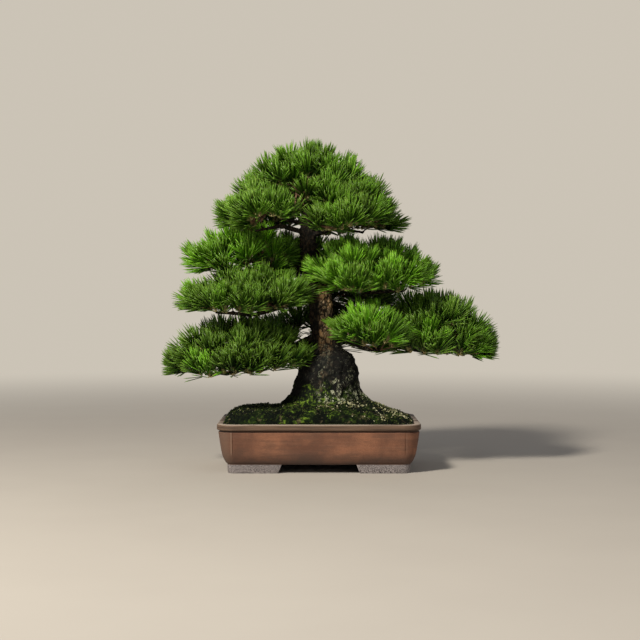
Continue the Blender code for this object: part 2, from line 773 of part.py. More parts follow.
def make_tree():
    branches, sprays = plan_tree()
    plans = []
    for number, (group, fork, start) in enumerate(sprays):
        best = None
        for attempt in range(60):
            shift = Vector((random.uniform(-1, 1), random.uniform(-1, 1), random.uniform(-0.4, 1)))
            trial = start + shift * 0.0007 * attempt
            first, stems = plan_spray(group, fork, trial)
            rods = stem_rods(number, fork, trial, first, stems)
            gap = min(
                room.clearance(a, b, r0, r1, (WOOD_OWNER,) if owner == WOOD_OWNER else ())
                for a, b, r0, r1, owner in rods
            )
            twig = Room()
            for rod in rods[-2:]:
                twig.add(*rod)
            for a, b, r0, r1, owner in rods[3:-2]:
                gap = min(gap, twig.clearance(a, b, r0, r1))
            if best is None or gap > best[0]:
                best = (gap, trial, first, stems, rods)
            if gap > 0.0015:
                break
        gap, start, first, stems, rods = best
        if gap < 0.0008:
            print("spray", number + 1, "has little room", round(gap * 1000, 2))
        for rod in rods:
            room.add(*rod)
        plans.append((number, fork, start, first, stems))

    trunk = [trunk_ring(STUMP_BOTTOM, *TRUNK[0][1:], 0.0, 0.0), trunk_ring(*TRUNK[0], 0.0, 0.0)]
    for row in TRUNK[1:]:
        trunk.append(trunk_ring(*row, 0.0, min(1.0, (row[0] - 0.112) / 0.02)))
    wood = new_object("wood", rings_solid(trunk))
    pieces = []
    for points, radii in branches:
        pieces.append(tube("branch", points, radii, 5))
    for number, fork, start, first, stems in plans:
        end = start - first * GAP
        before = end - first * 0.008
        pieces.append(tube("twig", [fork, before, end], [0.0026, 0.0024, 0.0020], 3))
    boolean(wood, "UNION", pieces)
    finish(wood, "wood", BARK)

    total = 0
    for number, fork, start, first, stems in plans:
        solids = []
        for index, (points, radii, heading) in enumerate(stems):
            solid, needles = shoot_solid(points, radii, heading, 2000 + number * 10 + index)
            solids.append(solid)
            total += needles
        spray = solids[0]
        if solids[1:]:
            boolean(spray, "UNION", solids[1:], "MANIFOLD")
        finish(spray, "spray_%02d" % (number + 1), NEEDLE)
    print("sprays", len(plans), "needles", total)


make_pot()
make_ground()
make_tree()

# The origin is the middle of the whole object's footprint, on the ground
corners = []
for obj in part.objects:
    if obj.type == "MESH":
        corners += [obj.matrix_world @ Vector(c) for c in obj.bound_box]
low = Vector([min(c[i] for c in corners) for i in range(3)])
high = Vector([max(c[i] for c in corners) for i in range(3)])
root.location = (-(low.x + high.x) / 2, -(low.y + high.y) / 2, -low.z)
for coll in list(cutters.children):
    bpy.data.collections.remove(coll)
print("size", [round(v * 1000, 1) for v in high - low])
print("shift", [round(v * 1000, 2) for v in root.location])
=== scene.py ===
# %% [markdown]
# # A Japanese black pine in an unglazed pot
# The tree is about half a metre tall: a thick trunk with plated bark, flat pads of upright needles, a bed
# of moss and a low clay pot with a band round its rim. The solids of the same object are loaded first and
# keep their shapes. Each step below makes one of its pieces finer, in the same place and at the same
# size.

# %% Load the solids
import math
import random

import bmesh
import bpy
import numpy as np
from mathutils import Matrix, Vector, noise


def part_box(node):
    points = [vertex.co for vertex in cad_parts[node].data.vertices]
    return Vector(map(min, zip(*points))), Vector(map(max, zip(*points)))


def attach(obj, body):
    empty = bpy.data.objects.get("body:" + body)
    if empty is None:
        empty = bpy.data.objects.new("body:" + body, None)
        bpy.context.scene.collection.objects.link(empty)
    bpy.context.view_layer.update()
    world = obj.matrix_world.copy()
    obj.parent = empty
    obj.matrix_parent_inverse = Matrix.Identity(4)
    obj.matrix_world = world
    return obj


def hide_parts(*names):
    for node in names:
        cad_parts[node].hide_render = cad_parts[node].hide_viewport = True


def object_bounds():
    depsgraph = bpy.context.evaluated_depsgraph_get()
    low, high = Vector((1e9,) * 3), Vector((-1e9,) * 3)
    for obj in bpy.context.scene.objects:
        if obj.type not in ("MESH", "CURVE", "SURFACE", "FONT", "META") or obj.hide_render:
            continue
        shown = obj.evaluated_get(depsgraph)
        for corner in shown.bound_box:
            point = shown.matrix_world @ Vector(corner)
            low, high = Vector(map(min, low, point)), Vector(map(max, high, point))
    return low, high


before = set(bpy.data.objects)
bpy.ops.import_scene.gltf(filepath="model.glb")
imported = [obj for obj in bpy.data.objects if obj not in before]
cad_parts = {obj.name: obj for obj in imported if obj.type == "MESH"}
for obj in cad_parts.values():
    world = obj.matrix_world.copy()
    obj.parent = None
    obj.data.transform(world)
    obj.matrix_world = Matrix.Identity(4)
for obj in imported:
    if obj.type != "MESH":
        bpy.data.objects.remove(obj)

SOLID_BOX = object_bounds()
print("nodes", len(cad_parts), "size", [round(b - a, 4) for a, b in zip(*SOLID_BOX)])

# %% [markdown]
# Everything is laid out from the middle of the pot, because the pot is the only regular thing here. The
# pot's own solid says where that is. Lengths are in metres throughout.

# %% Middle of the pot
pot_low, pot_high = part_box("pot")
MIDDLE = Vector(((pot_low.x + pot_high.x) / 2, (pot_low.y + pot_high.y) / 2, 0))
RIM_LENGTH = pot_high.x - pot_low.x
RIM_DEPTH = pot_high.y - pot_low.y
print("pot", round(RIM_LENGTH, 4), round(RIM_DEPTH, 4), round(pot_high.z, 4))


# %% [markdown]
# Every finished piece needs the same few steps: a mesh made from the bmesh, smooth shading, a finish, the
# body that it rides on and the solids that it stands for. One helper does them, so that no piece forgets
# one. The objects stay at the origin, with their place in the mesh. The other helpers copy a solid, run
# modifiers on a passing object, and join two shapes.

# %% Helpers that finish a piece
def mesh_of(name, bm):
    """The mesh of a bmesh, which is freed."""
    mesh = bpy.data.meshes.new(name)
    bm.to_mesh(mesh)
    bm.free()
    return mesh


def placed(name, data):
    """A new object in the scene for a mesh, a lamp or the camera."""
    obj = bpy.data.objects.new(name, data)
    bpy.context.scene.collection.objects.link(obj)
    return obj


def piece(name, bm, finish, stands_for=()):
    """A finished piece from a bmesh."""
    return settle(name, mesh_of(name, bm), finish, stands_for)


def settle(name, mesh, finish, stands_for=(), smooth=True):
    """Give a mesh its object, shading, finish and body, and hide the solids that it stands for."""
    obj = placed(name, mesh)
    mesh.polygons.foreach_set("use_smooth", [smooth] * len(mesh.polygons))
    mesh.materials.clear()
    mesh.materials.append(finish)
    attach(obj, "root")
    if stands_for:
        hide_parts(*stands_for)
    triangles = sum(len(p.vertices) - 2 for p in mesh.polygons)
    print(name, "triangles", triangles)
    return obj


def merged_copy(node):
    """A copy of a solid's mesh as a bmesh, with its loose triangles welded."""
    bm = bmesh.new()
    bm.from_mesh(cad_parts[node].data)
    bmesh.ops.remove_doubles(bm, verts=bm.verts, dist=0.00001)
    return bm


def throwaway(name, bm):
    """An object that only serves as a cutter or as something to remesh."""
    return placed(name, mesh_of(name, bm))


def baked(obj, *helpers):
    """The mesh of an object with its modifiers applied, as a bmesh. The object and its helpers go."""
    bpy.context.view_layer.update()
    graph = bpy.context.evaluated_depsgraph_get()
    mesh = bpy.data.meshes.new_from_object(obj.evaluated_get(graph))
    bm = bmesh.new()
    bm.from_mesh(mesh)
    bpy.data.meshes.remove(mesh)
    for old in (obj, *helpers):
        bpy.data.objects.remove(old, do_unlink=True)
    return bm


def pour(part, bm):
    """Add one bmesh to another by way of a mesh. The added one is freed."""
    mesh = mesh_of("part", part)
    bm.from_mesh(mesh)
    bpy.data.meshes.remove(mesh)


# %% [markdown]
# The finishes are node materials. Each one mixes a few patterns, so a short helper adds a node, sets what
# it is told and joins what it is given: a plain value goes on the socket, another node's output becomes a
# link.

# %% Helpers for finishes
def finish_of(name, roughness, specular):
    """A new material with its node tree and its shader."""
    made = bpy.data.materials.new(name)
    made.use_nodes = True
    tree = made.node_tree
    shader = tree.nodes["Principled BSDF"]
    shader.inputs["Roughness"].default_value = roughness
    shader.inputs["Specular IOR Level"].default_value = specular
    return made, tree, shader


def step(tree, kind, out=0, settings=None, **sockets):
    """Add a node and return one of its outputs. Sockets are named s0, s1 and so on by their place."""
    node = tree.nodes.new("ShaderNode" + kind)
    for key, value in (settings or {}).items():
        setattr(node, key, value)
    for key, value in sockets.items():
        socket = node.inputs[int(key[1:])]
        if isinstance(value, bpy.types.NodeSocket):
            tree.links.new(value, socket)
        else:
            socket.default_value = value
    return node.outputs[out]


def place_of(tree, scale=(1, 1, 1), shift=(0, 0, 0)):
    """Position on the object, stretched to suit a pattern."""
    spot = step(tree, "TexCoord", out=3)
    return step(tree, "Mapping", s0=spot, s1=shift, s3=scale)


def cloud(tree, spot, scale, detail=3.0, roughness=0.5):
    return step(tree, "TexNoise", s0=spot, s2=scale, s3=detail, s4=roughness)


def cells(tree, spot, scale):
    """A pattern of cells. Its outputs are the distance from a cell's middle, and a colour for each cell."""
    node = tree.nodes.new("ShaderNodeTexVoronoi")
    tree.links.new(spot, node.inputs["Vector"])
    node.inputs["Scale"].default_value = scale
    return node


def span(tree, value, low, high, to_low=0.0, to_high=1.0):
    """Map a value's span to another, clamped and eased."""
    node = tree.nodes.new("ShaderNodeMapRange")
    node.interpolation_type = "SMOOTHSTEP"
    tree.links.new(value, node.inputs[0])
    node.inputs[1].default_value = low
    node.inputs[2].default_value = high
    node.inputs[3].default_value = to_low
    node.inputs[4].default_value = to_high
    return node.outputs[0]


def sums(tree, kind, a, b):
    """One step of arithmetic on two values."""
    return step(tree, "Math", settings={"operation": kind}, s0=a, s1=b)


def times(tree, a, b):
    return sums(tree, "MULTIPLY", a, b)


def blend(tree, share, a, b, kind="MIX"):
    """Mix two colours by a share. A colour is three numbers or another node's output."""
    node = tree.nodes.new("ShaderNodeMix")
    node.data_type = "RGBA"
    node.blend_type = kind
    for index, value in ((0, share), (6, a), (7, b)):
        if isinstance(value, bpy.types.NodeSocket):
            tree.links.new(value, node.inputs[index])
        elif index:
            node.inputs[index].default_value = (*value, 1.0)
        else:
            node.inputs[0].default_value = value
    return node.outputs[2]


def tint(tree, colour, other, value, low, high, to_low=0.0, to_high=1.0):
    """Turn a colour towards another by how far a value lies along a span."""
    return blend(tree, span(tree, value, low, high, to_low, to_high), colour, other)


def scaled(tree, colour, factors):
    """A colour multiplied channel by channel."""
    return blend(tree, 1.0, colour, factors, "MULTIPLY")


def paint(tree, shader, colour):
    """Give a shader its colour."""
    tree.links.new(colour, shader.inputs["Base Color"])


def height_of(tree, axis=2):
    """Height above the ground in metres, or how far right (axis 0) or back (axis 1) a point lies."""
    spot = step(tree, "TexCoord", out=3)
    return step(tree, "SeparateXYZ", out=axis, s0=spot)


def write_along(mesh, name, values):
    """Write a number for every vertex on a mesh, for its finish to read."""
    layer = mesh.attributes.new(name, "FLOAT", "POINT")
    layer.data.foreach_set("value", np.asarray(values, np.float32).reshape(-1))


def read(tree, name):
    """A number that was written on the mesh."""
    return step(tree, "Attribute", out=2, settings={"attribute_name": name})


def raise_by(tree, shader, height, distance, strength=1.0, under=None):
    """Bump from a height pattern, on top of another bump."""
    node = tree.nodes.new("ShaderNodeBump")
    node.inputs["Strength"].default_value = strength
    node.inputs["Distance"].default_value = distance
    tree.links.new(height, node.inputs["Height"])
    if under is not None:
        tree.links.new(under, node.inputs["Normal"])
    tree.links.new(node.outputs[0], shader.inputs["Normal"])
    return node.outputs[0]


# %% [markdown]
# The camera stands two and a half metres in front of the pot, level, a little above the lower branches,
# with a long lens. That keeps the rim nearly flat and shows just a sliver of moss behind it. The
# picture's middle is moved slightly instead of tilting the camera, so that upright edges stay upright.

# %% Camera
CAMERA_AWAY = 2.45
CAMERA_UP = 0.3017
LENS = 78.6
camera_data = bpy.data.cameras.new("camera")
camera = placed("camera", camera_data)
bpy.context.scene.camera = camera
camera.location = MIDDLE + Vector((0, -CAMERA_AWAY, CAMERA_UP))
camera.rotation_euler = (math.radians(90), 0, 0)
camera_data.sensor_width = 36.0
camera_data.lens = LENS
camera_data.shift_x = 0.0016
camera_data.shift_y = -0.0406
print("camera", [round(v, 3) for v in camera.location], "lens", LENS)

# %% [markdown]
# A plain pale floor and a pale surround show the outline of the pads clearly. Far from the tree the floor
# fades into the surround, so that no horizon cuts through the view. The light comes like late sun: one
# strong soft lamp high up in front on the left, a weak wide one on the right so that the shadows keep
# their green, a weak one behind for the outline, and a dim surround.

# %% Floor
SURROUND = (0.60, 0.55, 0.47, 1.0)
FLOOR_RADIUS = 30.0
FADE_FROM = 0.6
FADE_TO = 3.2
floor_finish, tree, shader = finish_of("pale_floor", 0.95, 0.05)
grain = cloud(tree, place_of(tree), 6.0)
paint(tree, shader, blend(tree, grain, (0.44, 0.40, 0.35), (0.47, 0.43, 0.375)))
glow = tree.nodes.new("ShaderNodeEmission")
glow.inputs["Color"].default_value = SURROUND
fade = tree.nodes.new("ShaderNodeMixShader")
reach = step(tree, "VectorMath", out=1, settings={"operation": "LENGTH"}, s0=place_of(tree))
tree.links.new(span(tree, reach, FADE_FROM, FADE_TO), fade.inputs[0])
tree.links.new(shader.outputs[0], fade.inputs[1])
tree.links.new(glow.outputs[0], fade.inputs[2])
tree.links.new(fade.outputs[0], tree.nodes["Material Output"].inputs["Surface"])
bm = bmesh.new()
bmesh.ops.create_circle(bm, cap_ends=True, segments=64, radius=FLOOR_RADIUS)
floor = placed("floor", mesh_of("floor", bm))
floor.data.materials.append(floor_finish)
print("floor fades from", FADE_FROM, "to", FADE_TO)

# %% Surround
DIM_LIGHT = 0.25
world = bpy.data.worlds.new("surround")
world.use_nodes = True
nodes = world.node_tree.nodes
seen = nodes["Background"]
seen.inputs["Color"].default_value = SURROUND
seen.inputs["Strength"].default_value = 1.0
dim = nodes.new("ShaderNodeBackground")
dim.inputs["Color"].default_value = (0.86, 0.88, 0.95, 1.0)
dim.inputs["Strength"].default_value = DIM_LIGHT
choice = nodes.new("ShaderNodeMixShader")
world.node_tree.links.new(nodes.new("ShaderNodeLightPath").outputs["Is Camera Ray"], choice.inputs[0])
world.node_tree.links.new(dim.outputs[0], choice.inputs[1])
world.node_tree.links.new(seen.outputs[0], choice.inputs[2])
world.node_tree.links.new(choice.outputs[0], nodes["World Output"].inputs["Surface"])
bpy.context.scene.world = world
bpy.context.scene.view_settings.view_transform = "Standard"
print("surround gives", DIM_LIGHT)

# %% Lamps
AIM = Vector((0, 0, 0.25))


def lamp(name, size, power, place, colour):
    """A square lamp that looks at the middle of the tree."""
    data = bpy.data.lights.new(name, "AREA")
    data.size = size
    data.energy = power
    data.color = colour
    obj = placed(name, data)
    obj.location = place
    obj.rotation_euler = (AIM - Vector(place)).to_track_quat("-Z", "Y").to_euler()
    print("lamp", name, "power", power)


lamp("key", 0.45, 118.0, (-1.40, -2.00, 2.15), (1.0, 0.95, 0.86))
lamp("fill", 2.0, 8.0, (2.2, -2.4, 1.2), (0.93, 0.96, 1.0))
lamp("back", 1.2, 8.0, (0.6, 2.4, 1.8), (1.0, 0.97, 0.93))


# %% [markdown]
# The pot is thrown or pressed from stoneware clay and fired without a glaze. Its colour drifts between
# red brown and grey brown, darker towards the foot, and lighter where hands have rubbed the rim. All of
# that depends on the place on the pot, so the finish reads the position and height, and two sizes of
# clouds break it up. A painted highlight runs beside each upright groove, strongest on the left, and the
# left end of the pot is painted lighter where the lamp falls on it. A dark line of painted shade sits in
# the groove under the rim. The grain of the clay is a fine bump with a few dark specks.

# %% Clay patterns
clay, tree, shader = finish_of("unglazed_clay", 0.72, 0.30)
up = height_of(tree)
broad = cloud(tree, place_of(tree), 14.0, 4.0, 0.6)
wiped = cloud(tree, place_of(tree, (8, 8, 34)), 3.0, 4.0, 0.6)
fine = cloud(tree, place_of(tree), 700.0, 2.0)
streaks = cloud(tree, place_of(tree, (5, 5, 110)), 2.4, 5.0, 0.62)
speck = cells(tree, place_of(tree), 320.0).outputs["Distance"]
print("clay patterns", len(tree.nodes))

# %% Clay colours
GROOVE_AT = 0.028
warm = tint(tree, (0.160, 0.069, 0.040), (0.310, 0.133, 0.071), broad, 0.36, 0.64)
warm = tint(tree, warm, (0.128, 0.068, 0.044), wiped, 0.46, 0.66, 0.0, 0.5)
warm = tint(tree, warm, (0.330, 0.180, 0.115), streaks, 0.50, 0.68, 0.0, 0.13)
warm = tint(tree, warm, (0.070, 0.038, 0.026), streaks, 0.50, 0.34, 0.0, 0.15)
# The clay turns darker towards the foot.
darker_low = sums(tree, "ADD", up, times(tree, broad, 0.020))
warm = tint(tree, warm, (0.056, 0.044, 0.038), darker_low, 0.022, 0.056, 0.78, 0.0)
warm = tint(tree, warm, (0.070, 0.040, 0.028), fine, 0.40, 0.64, 0.22, 0.0)
warm = tint(tree, warm, (0.090, 0.042, 0.026), height_of(tree, 0), -0.180, -0.070, 0.40, 0.0)
# Painted light: the left end of the pot, where the lamp falls, is made lighter and greyer.
left_groove = MIDDLE.x - RIM_LENGTH / 2 + GROOVE_AT
painted_left_light = span(tree, height_of(tree, 0), left_groove - 0.014, left_groove + 0.004, 0.4, 0.0)
warm = blend(tree, painted_left_light, warm, (0.180, 0.122, 0.086))
print("left grooves at", round(left_groove, 4))

# %% Rim, worn edges and feet, with painted highlight and shade at the grooves
GROOVE_HIGHLIGHT_OUT = 0.0024
RIM_FOOT = 0.0690
rim_tone = tint(tree, (0.076, 0.047, 0.030), (0.150, 0.093, 0.060), streaks, 0.35, 0.65)
from_middle = sums(tree, "ABSOLUTE", sums(tree, "SUBTRACT", height_of(tree, 0), MIDDLE.x), 0.0)
# Painted highlight: a light line beside each upright groove, stronger on the left.
from_groove_highlight = sums(tree, "SUBTRACT", from_middle, RIM_LENGTH / 2 - GROOVE_AT + GROOVE_HIGHLIGHT_OUT)
from_groove_highlight = sums(tree, "ABSOLUTE", from_groove_highlight, 0.0)
painted_groove_highlight = times(tree, span(tree, from_groove_highlight, 0.0, 0.0018, 0.30, 0.0), span(tree, up, 0.028, 0.036))
painted_groove_highlight = times(tree, painted_groove_highlight, span(tree, height_of(tree, 0), -0.05, 0.05, 1.0, 0.35))
warm = blend(tree, painted_groove_highlight, warm, (0.380, 0.270, 0.190))
warm = tint(tree, warm, rim_tone, up, RIM_FOOT + 0.0015, RIM_FOOT + 0.0045)
# Painted shade: a dark line in the groove under the rim band.
groove = span(tree, up, RIM_FOOT, RIM_FOOT + 0.0015, 0.0, 0.8)
groove = times(tree, groove, span(tree, up, RIM_FOOT + 0.0032, RIM_FOOT + 0.0045, 1.0, 0.0))
warm = blend(tree, groove, warm, (0.030, 0.019, 0.015))
worn = times(tree, span(tree, up, 0.0815, 0.0829), span(tree, streaks, 0.38, 0.58))
warm = blend(tree, times(tree, worn, 0.8), warm, (0.380, 0.310, 0.250))
ash = tint(tree, (0.050, 0.043, 0.041), (0.350, 0.310, 0.300), fine, 0.38, 0.60)
ash = tint(tree, ash, (0.250, 0.222, 0.216), broad, 0.40, 0.60, 0.0, 0.5)
warm = tint(tree, warm, ash, up, 0.0138, 0.0152, 1.0, 0.0)
warm = tint(tree, warm, (0.040, 0.028, 0.022), speck, 0.05, 0.16, 0.45, 0.0)
paint(tree, shader, warm)
print("clay colour nodes", len(tree.nodes))

# %% Grain of the clay
tree.links.new(span(tree, broad, 0.3, 0.7, 0.62, 0.82), shader.inputs["Roughness"])
bump = raise_by(tree, shader, fine, 0.0005, 0.5)
bump = raise_by(tree, shader, broad, 0.004, 0.35, bump)
raise_by(tree, shader, wiped, 0.0010, 0.25, bump)
print("clay nodes", len(tree.nodes))

# %% [markdown]
# The wall of the pot could be cut from a block, but a potter sees it as one outline that swells and
# narrows as it rises. So the shape starts as a flat plate with its four corners bevelled round, and each
# step of the profile is an inset of the top face: outwards and up for the wall, inwards and down for the
# hollow. An inset keeps the corners true, as a scaled copy would not.

# %% Profile of the pot
CORNER_RADIUS = 0.032
CORNER_STEPS = 10
BODY = (
    (-0.0220, 0.0145), (-0.0165, 0.0165), (-0.0120, 0.0235), (-0.0085, 0.0330), (-0.0050, 0.0520),
    (-0.0025, RIM_FOOT),
)
RIM = (
    (-0.0042, 0.0702), (-0.0042, 0.0722), (-0.0012, 0.0730), (-0.0002, 0.0740), (0.0000, 0.0755),
    (0.0000, 0.0805), (-0.0004, 0.0820), (-0.0016, 0.0831), (-0.0030, 0.0833), (-0.0088, 0.0833),
    (-0.0098, 0.0829),
)
HOLLOW = ((-0.0110, 0.0815), (-0.0135, 0.0600), (-0.0170, 0.0345), (-0.0215, 0.0255), (-0.0280, 0.0225))


def eased(points, parts):
    """More points along a smooth line through some points."""
    out = []
    for i in range(len(points) - 1):
        before = points[max(i - 1, 0)]
        after = points[min(i + 2, len(points) - 1)]
        for k in range(parts):
            t = k / parts
            row = []
            for a, b, c, d in zip(before, points[i], points[i + 1], after):
                curve = 2 * a - 5 * b + 4 * c - d + t * (3 * (b - c) + d - a)
                row.append(b + 0.5 * t * (c - a + t * curve))
            out.append(tuple(row))
    return out + [points[-1]]


def rounded_plate(offset, height):
    """A rounded rectangle as one face, moved in from the rim by an offset."""
    bm = bmesh.new()
    bmesh.ops.create_grid(bm, x_segments=1, y_segments=1, size=0.5)
    bmesh.ops.scale(bm, vec=(RIM_LENGTH + 2 * offset, RIM_DEPTH + 2 * offset, 1), verts=bm.verts)
    bmesh.ops.bevel(
        bm, geom=bm.verts[:], offset=max(CORNER_RADIUS + offset, 0.004), offset_type="OFFSET",
        segments=CORNER_STEPS, profile=0.5, affect="VERTICES", material=-1,
    )
    bmesh.ops.translate(bm, vec=MIDDLE + Vector((0, 0, height)), verts=bm.verts)
    return bm, bm.faces[:][0]


def follow(bm, plate, profile, start):
    """Raise a plate's copy through a profile of (offset, height) and return the last face."""
    out = bmesh.ops.extrude_face_region(bm, geom=[plate])
    top = [g for g in out["geom"] if isinstance(g, bmesh.types.BMFace)][0]
    offset, height = start
    for next_offset, next_height in profile:
        bmesh.ops.inset_individual(
            bm, faces=[top], thickness=offset - next_offset, depth=next_height - height,
            use_even_offset=True,
        )
        offset, height = next_offset, next_height
    return top


body, plate = rounded_plate(*BODY[0])
outer = eased(BODY, 3)[1:]
follow(body, plate, [*outer, *RIM, *eased(HOLLOW, 3)], BODY[0])
bmesh.ops.recalc_face_normals(body, faces=body.faces)
print("pot body faces", len(body.faces), "open edges", sum(e.is_boundary for e in body.edges))

# %% [markdown]
# The pot stands on four low corner feet, left when the skirt under it is cut away between them. The skirt
# is the same kind of plate, raised and hollowed, and slanted wedges cut the gaps. The cut corners are
# softened with a narrow bevel before the feet join the body, because a bevel across the join would run
# into the wall.

# %% Feet
SKIRT_OUT = -0.0185
SKIRT_IN = -0.0460
FOOT_TOP = 0.0178
GAP_FRONT = 0.130
GAP_SIDE = 0.100
GAP_SLANT = (0.009, -0.008)
skirt, plate = rounded_plate(SKIRT_OUT, 0.0)
follow(skirt, plate, [(SKIRT_OUT + 0.0012, FOOT_TOP)], (SKIRT_OUT, 0.0))
core, plate = rounded_plate(SKIRT_IN, -0.01)
follow(core, plate, [(SKIRT_IN, 0.04)], (SKIRT_IN, -0.01))
for bm in (skirt, core):
    bmesh.ops.recalc_face_normals(bm, faces=bm.faces)
skirt_object = throwaway("skirt", skirt)
wedges = [throwaway("core", core)]
for along_x in (True, False):
    gap = GAP_FRONT if along_x else GAP_SIDE
    bm = bmesh.new()
    low, high = [(gap / 2 + more) * 2 ** 0.5 for more in GAP_SLANT]
    bmesh.ops.create_cone(bm, cap_ends=True, segments=4, radius1=low, radius2=high, depth=0.040)
    bmesh.ops.rotate(bm, verts=bm.verts, matrix=Matrix.Rotation(math.radians(45), 3, "Z"))
    bmesh.ops.scale(bm, verts=bm.verts, vec=(1, 3.6, 1) if along_x else (5.2, 1, 1))
    bmesh.ops.translate(bm, verts=bm.verts, vec=MIDDLE + Vector((0, 0, 0.008)))
    wedges.append(throwaway("wedge", bm))


def cut(obj, tools, kind="DIFFERENCE"):
    """An object with some tools cut out of it, or joined to it, as a bmesh."""
    for tool in tools:
        mod = obj.modifiers.new("cut", "BOOLEAN")
        mod.operation = kind
        mod.solver = "EXACT"
        mod.object = tool
    return baked(obj, *tools)


feet = cut(skirt_object, wedges)
bmesh.ops.remove_doubles(feet, verts=feet.verts, dist=0.00002)
sharp = [e for e in feet.edges if e.is_manifold and e.calc_face_angle() > math.radians(35)]
bmesh.ops.bevel(
    feet, geom=sharp, offset=0.0011, offset_type="OFFSET", segments=2, profile=0.5, affect="EDGES",
    material=-1, clamp_overlap=True,
)
print("feet faces", len(feet.faces), "open edges", sum(e.is_boundary for e in feet.edges))

# %% [markdown]
# Two drain holes go through the floor, and a thin upright groove marks each side of every corner. Slim
# rods laid into the wall cut the grooves, as a modelling tool would, with the same method as the holes.

# %% Holes and grooves
DRAIN_OFFSET = 0.068
DRAIN_RADIUS = 0.011
GROOVE_RADIUS = 0.0009
GROOVE_LOW = (0.0087, 0.0330)
GROOVE_HIGH = (0.0026, RIM_FOOT)
tools = []
for side in (-1, 1):
    bm = bmesh.new()
    bmesh.ops.create_cone(
        bm, cap_ends=True, segments=28, radius1=DRAIN_RADIUS, radius2=DRAIN_RADIUS, depth=0.04
    )
    bmesh.ops.translate(bm, verts=bm.verts, vec=MIDDLE + Vector((side * DRAIN_OFFSET, 0, 0.02)))
    tools.append(throwaway("drain", bm))
for sx in (-1, 1):
    for sy in (-1, 1):
        for on_front in (True, False):
            ends = []
            for inside, height in (GROOVE_LOW, GROOVE_HIGH):
                end = Vector((sx * (RIM_LENGTH / 2 - inside), sy * (RIM_DEPTH / 2 - inside), height))
                if on_front:
                    end.x = sx * (RIM_LENGTH / 2 - GROOVE_AT)
                else:
                    end.y = sy * (RIM_DEPTH / 2 - GROOVE_AT)
                ends.append(end)
            low, high = ends
            bm = bmesh.new()
            bmesh.ops.create_cone(
                bm, cap_ends=True, segments=8, radius1=GROOVE_RADIUS, radius2=GROOVE_RADIUS,
                depth=(high - low).length + 0.010,
            )
            turn = Vector((0, 0, 1)).rotation_difference(high - low).to_matrix()
            bmesh.ops.rotate(bm, verts=bm.verts, matrix=turn)
            bmesh.ops.translate(bm, verts=bm.verts, vec=MIDDLE + (low + high) / 2)
            tools.append(throwaway("groove", bm))
body_object = throwaway("pot_body", cut(throwaway("wall", body), tools))
pot = cut(body_object, [throwaway("feet", feet)], "UNION")
bmesh.ops.remove_doubles(pot, verts=pot.verts, dist=0.00002)
pot_nodes = ["pot"] + [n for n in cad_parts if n.startswith("foot_")]
pot_piece = piece("clay_pot", pot, clay, pot_nodes)
pot_piece.data.set_sharp_from_angle(angle=math.radians(38))

# %% [markdown]
# Inside the pot there is fired clay soil, crumbs of three or four millimetres, seen only through the
# drain holes and past the nets over them. The solids have the right shape for both, so they stay and only
# get a finish: cells for the crumbs, and a plain dark plastic with a faint ripple for the nets. Just
# under the moss the soil turns as dark and green as the moss.

# %% Soil and drain nets
soil_finish, tree, shader = finish_of("fired_clay_soil", 0.95, 0.15)
crumbs = cells(tree, place_of(tree), 260.0)
tone = blend(tree, crumbs.outputs["Color"], (0.17, 0.085, 0.045), (0.30, 0.17, 0.095))
tone = tint(tree, tone, (0.05, 0.03, 0.02), crumbs.outputs["Distance"], 0.35, 0.8)
tone = tint(tree, tone, (0.009, 0.014, 0.004), height_of(tree), 0.072, 0.078)
paint(tree, shader, tone)
raise_by(tree, shader, crumbs.outputs["Distance"], 0.002, 0.8).node.invert = True
net_finish, tree, shader = finish_of("drain_net", 0.5, 0.4)
ripple = cloud(tree, place_of(tree), 500.0)
paint(tree, shader, blend(tree, ripple, (0.012, 0.012, 0.012), (0.03, 0.03, 0.03)))
raise_by(tree, shader, ripple, 0.0004, 0.4)
for name, finish in (("soil", soil_finish), ("screen_left", net_finish), ("screen_right", net_finish)):
    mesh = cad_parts[name].data
    mesh.materials.clear()
    mesh.materials.append(finish)
    print(name, "keeps its solid and gets", finish.name)


# %% [markdown]
# Moss covers the whole surface. It is a mound that climbs to the foot of the trunk, falls to the rim and
# swells in small cushions. The bed is a fine grid trimmed to the inside of the pot, one straight cut
# after another round each corner, and then raised by the same hill as the solid with the small cushions
# added.

# %% Moss finish
def moss_colours(tree, swell=None):
    """Olive green, bright yellow green cushions with painted shade in their creases, dry brown patches."""
    patch = cloud(tree, place_of(tree), 34.0, 4.0, 0.6)
    small = cloud(tree, place_of(tree, (1, 1, 1), (3, 7, 1)), 170.0, 4.0, 0.65)
    colour = tint(tree, (0.003, 0.005, 0.003), (0.009, 0.018, 0.004), patch, 0.42, 0.60)
    bright = times(tree, span(tree, small, 0.52, 0.61), span(tree, patch, 0.42, 0.56, 0.18, 1.0))
    side = height_of(tree, 0)
    bright = times(tree, bright, span(tree, side, -0.130, -0.055, 0.20, 1.0))
    bright = times(tree, bright, span(tree, side, -0.020, 0.030, 1.0, 0.30))
    # Painted shade: the creases between the cushions are darkened, and the bright green keeps to their
    # tops.
    if swell is not None:
        colour = tint(tree, colour, (0.002, 0.003, 0.002), swell, 0.10, 0.60, 0.85, 0.0)
        bright = times(tree, bright, span(tree, swell, 0.25, 0.70))
    colour = blend(tree, bright, colour, (0.150, 0.240, 0.024))
    dry = cloud(tree, place_of(tree, (1, 1, 1), (11, 2, 5)), 80.0, 4.0, 0.6)
    return tint(tree, colour, (0.105, 0.085, 0.042), dry, 0.58, 0.70, 0.0, 0.75), small


moss_finish, tree, shader = finish_of("moss_bed", 0.95, 0.1)
colour, small = moss_colours(tree, read(tree, "swell"))
paint(tree, shader, colour)
raise_by(tree, shader, small, 0.003, 0.8)
print("moss nodes", len(tree.nodes))

# %% Shape of the moss
MOSS_IN = 0.0104
MOSS_EDGE = 0.0815
MOUND = 0.0205
MOUND_IN = 0.0082
TRUNK_FOOT_X = 0.026
FOOT_MOUND = 0.026


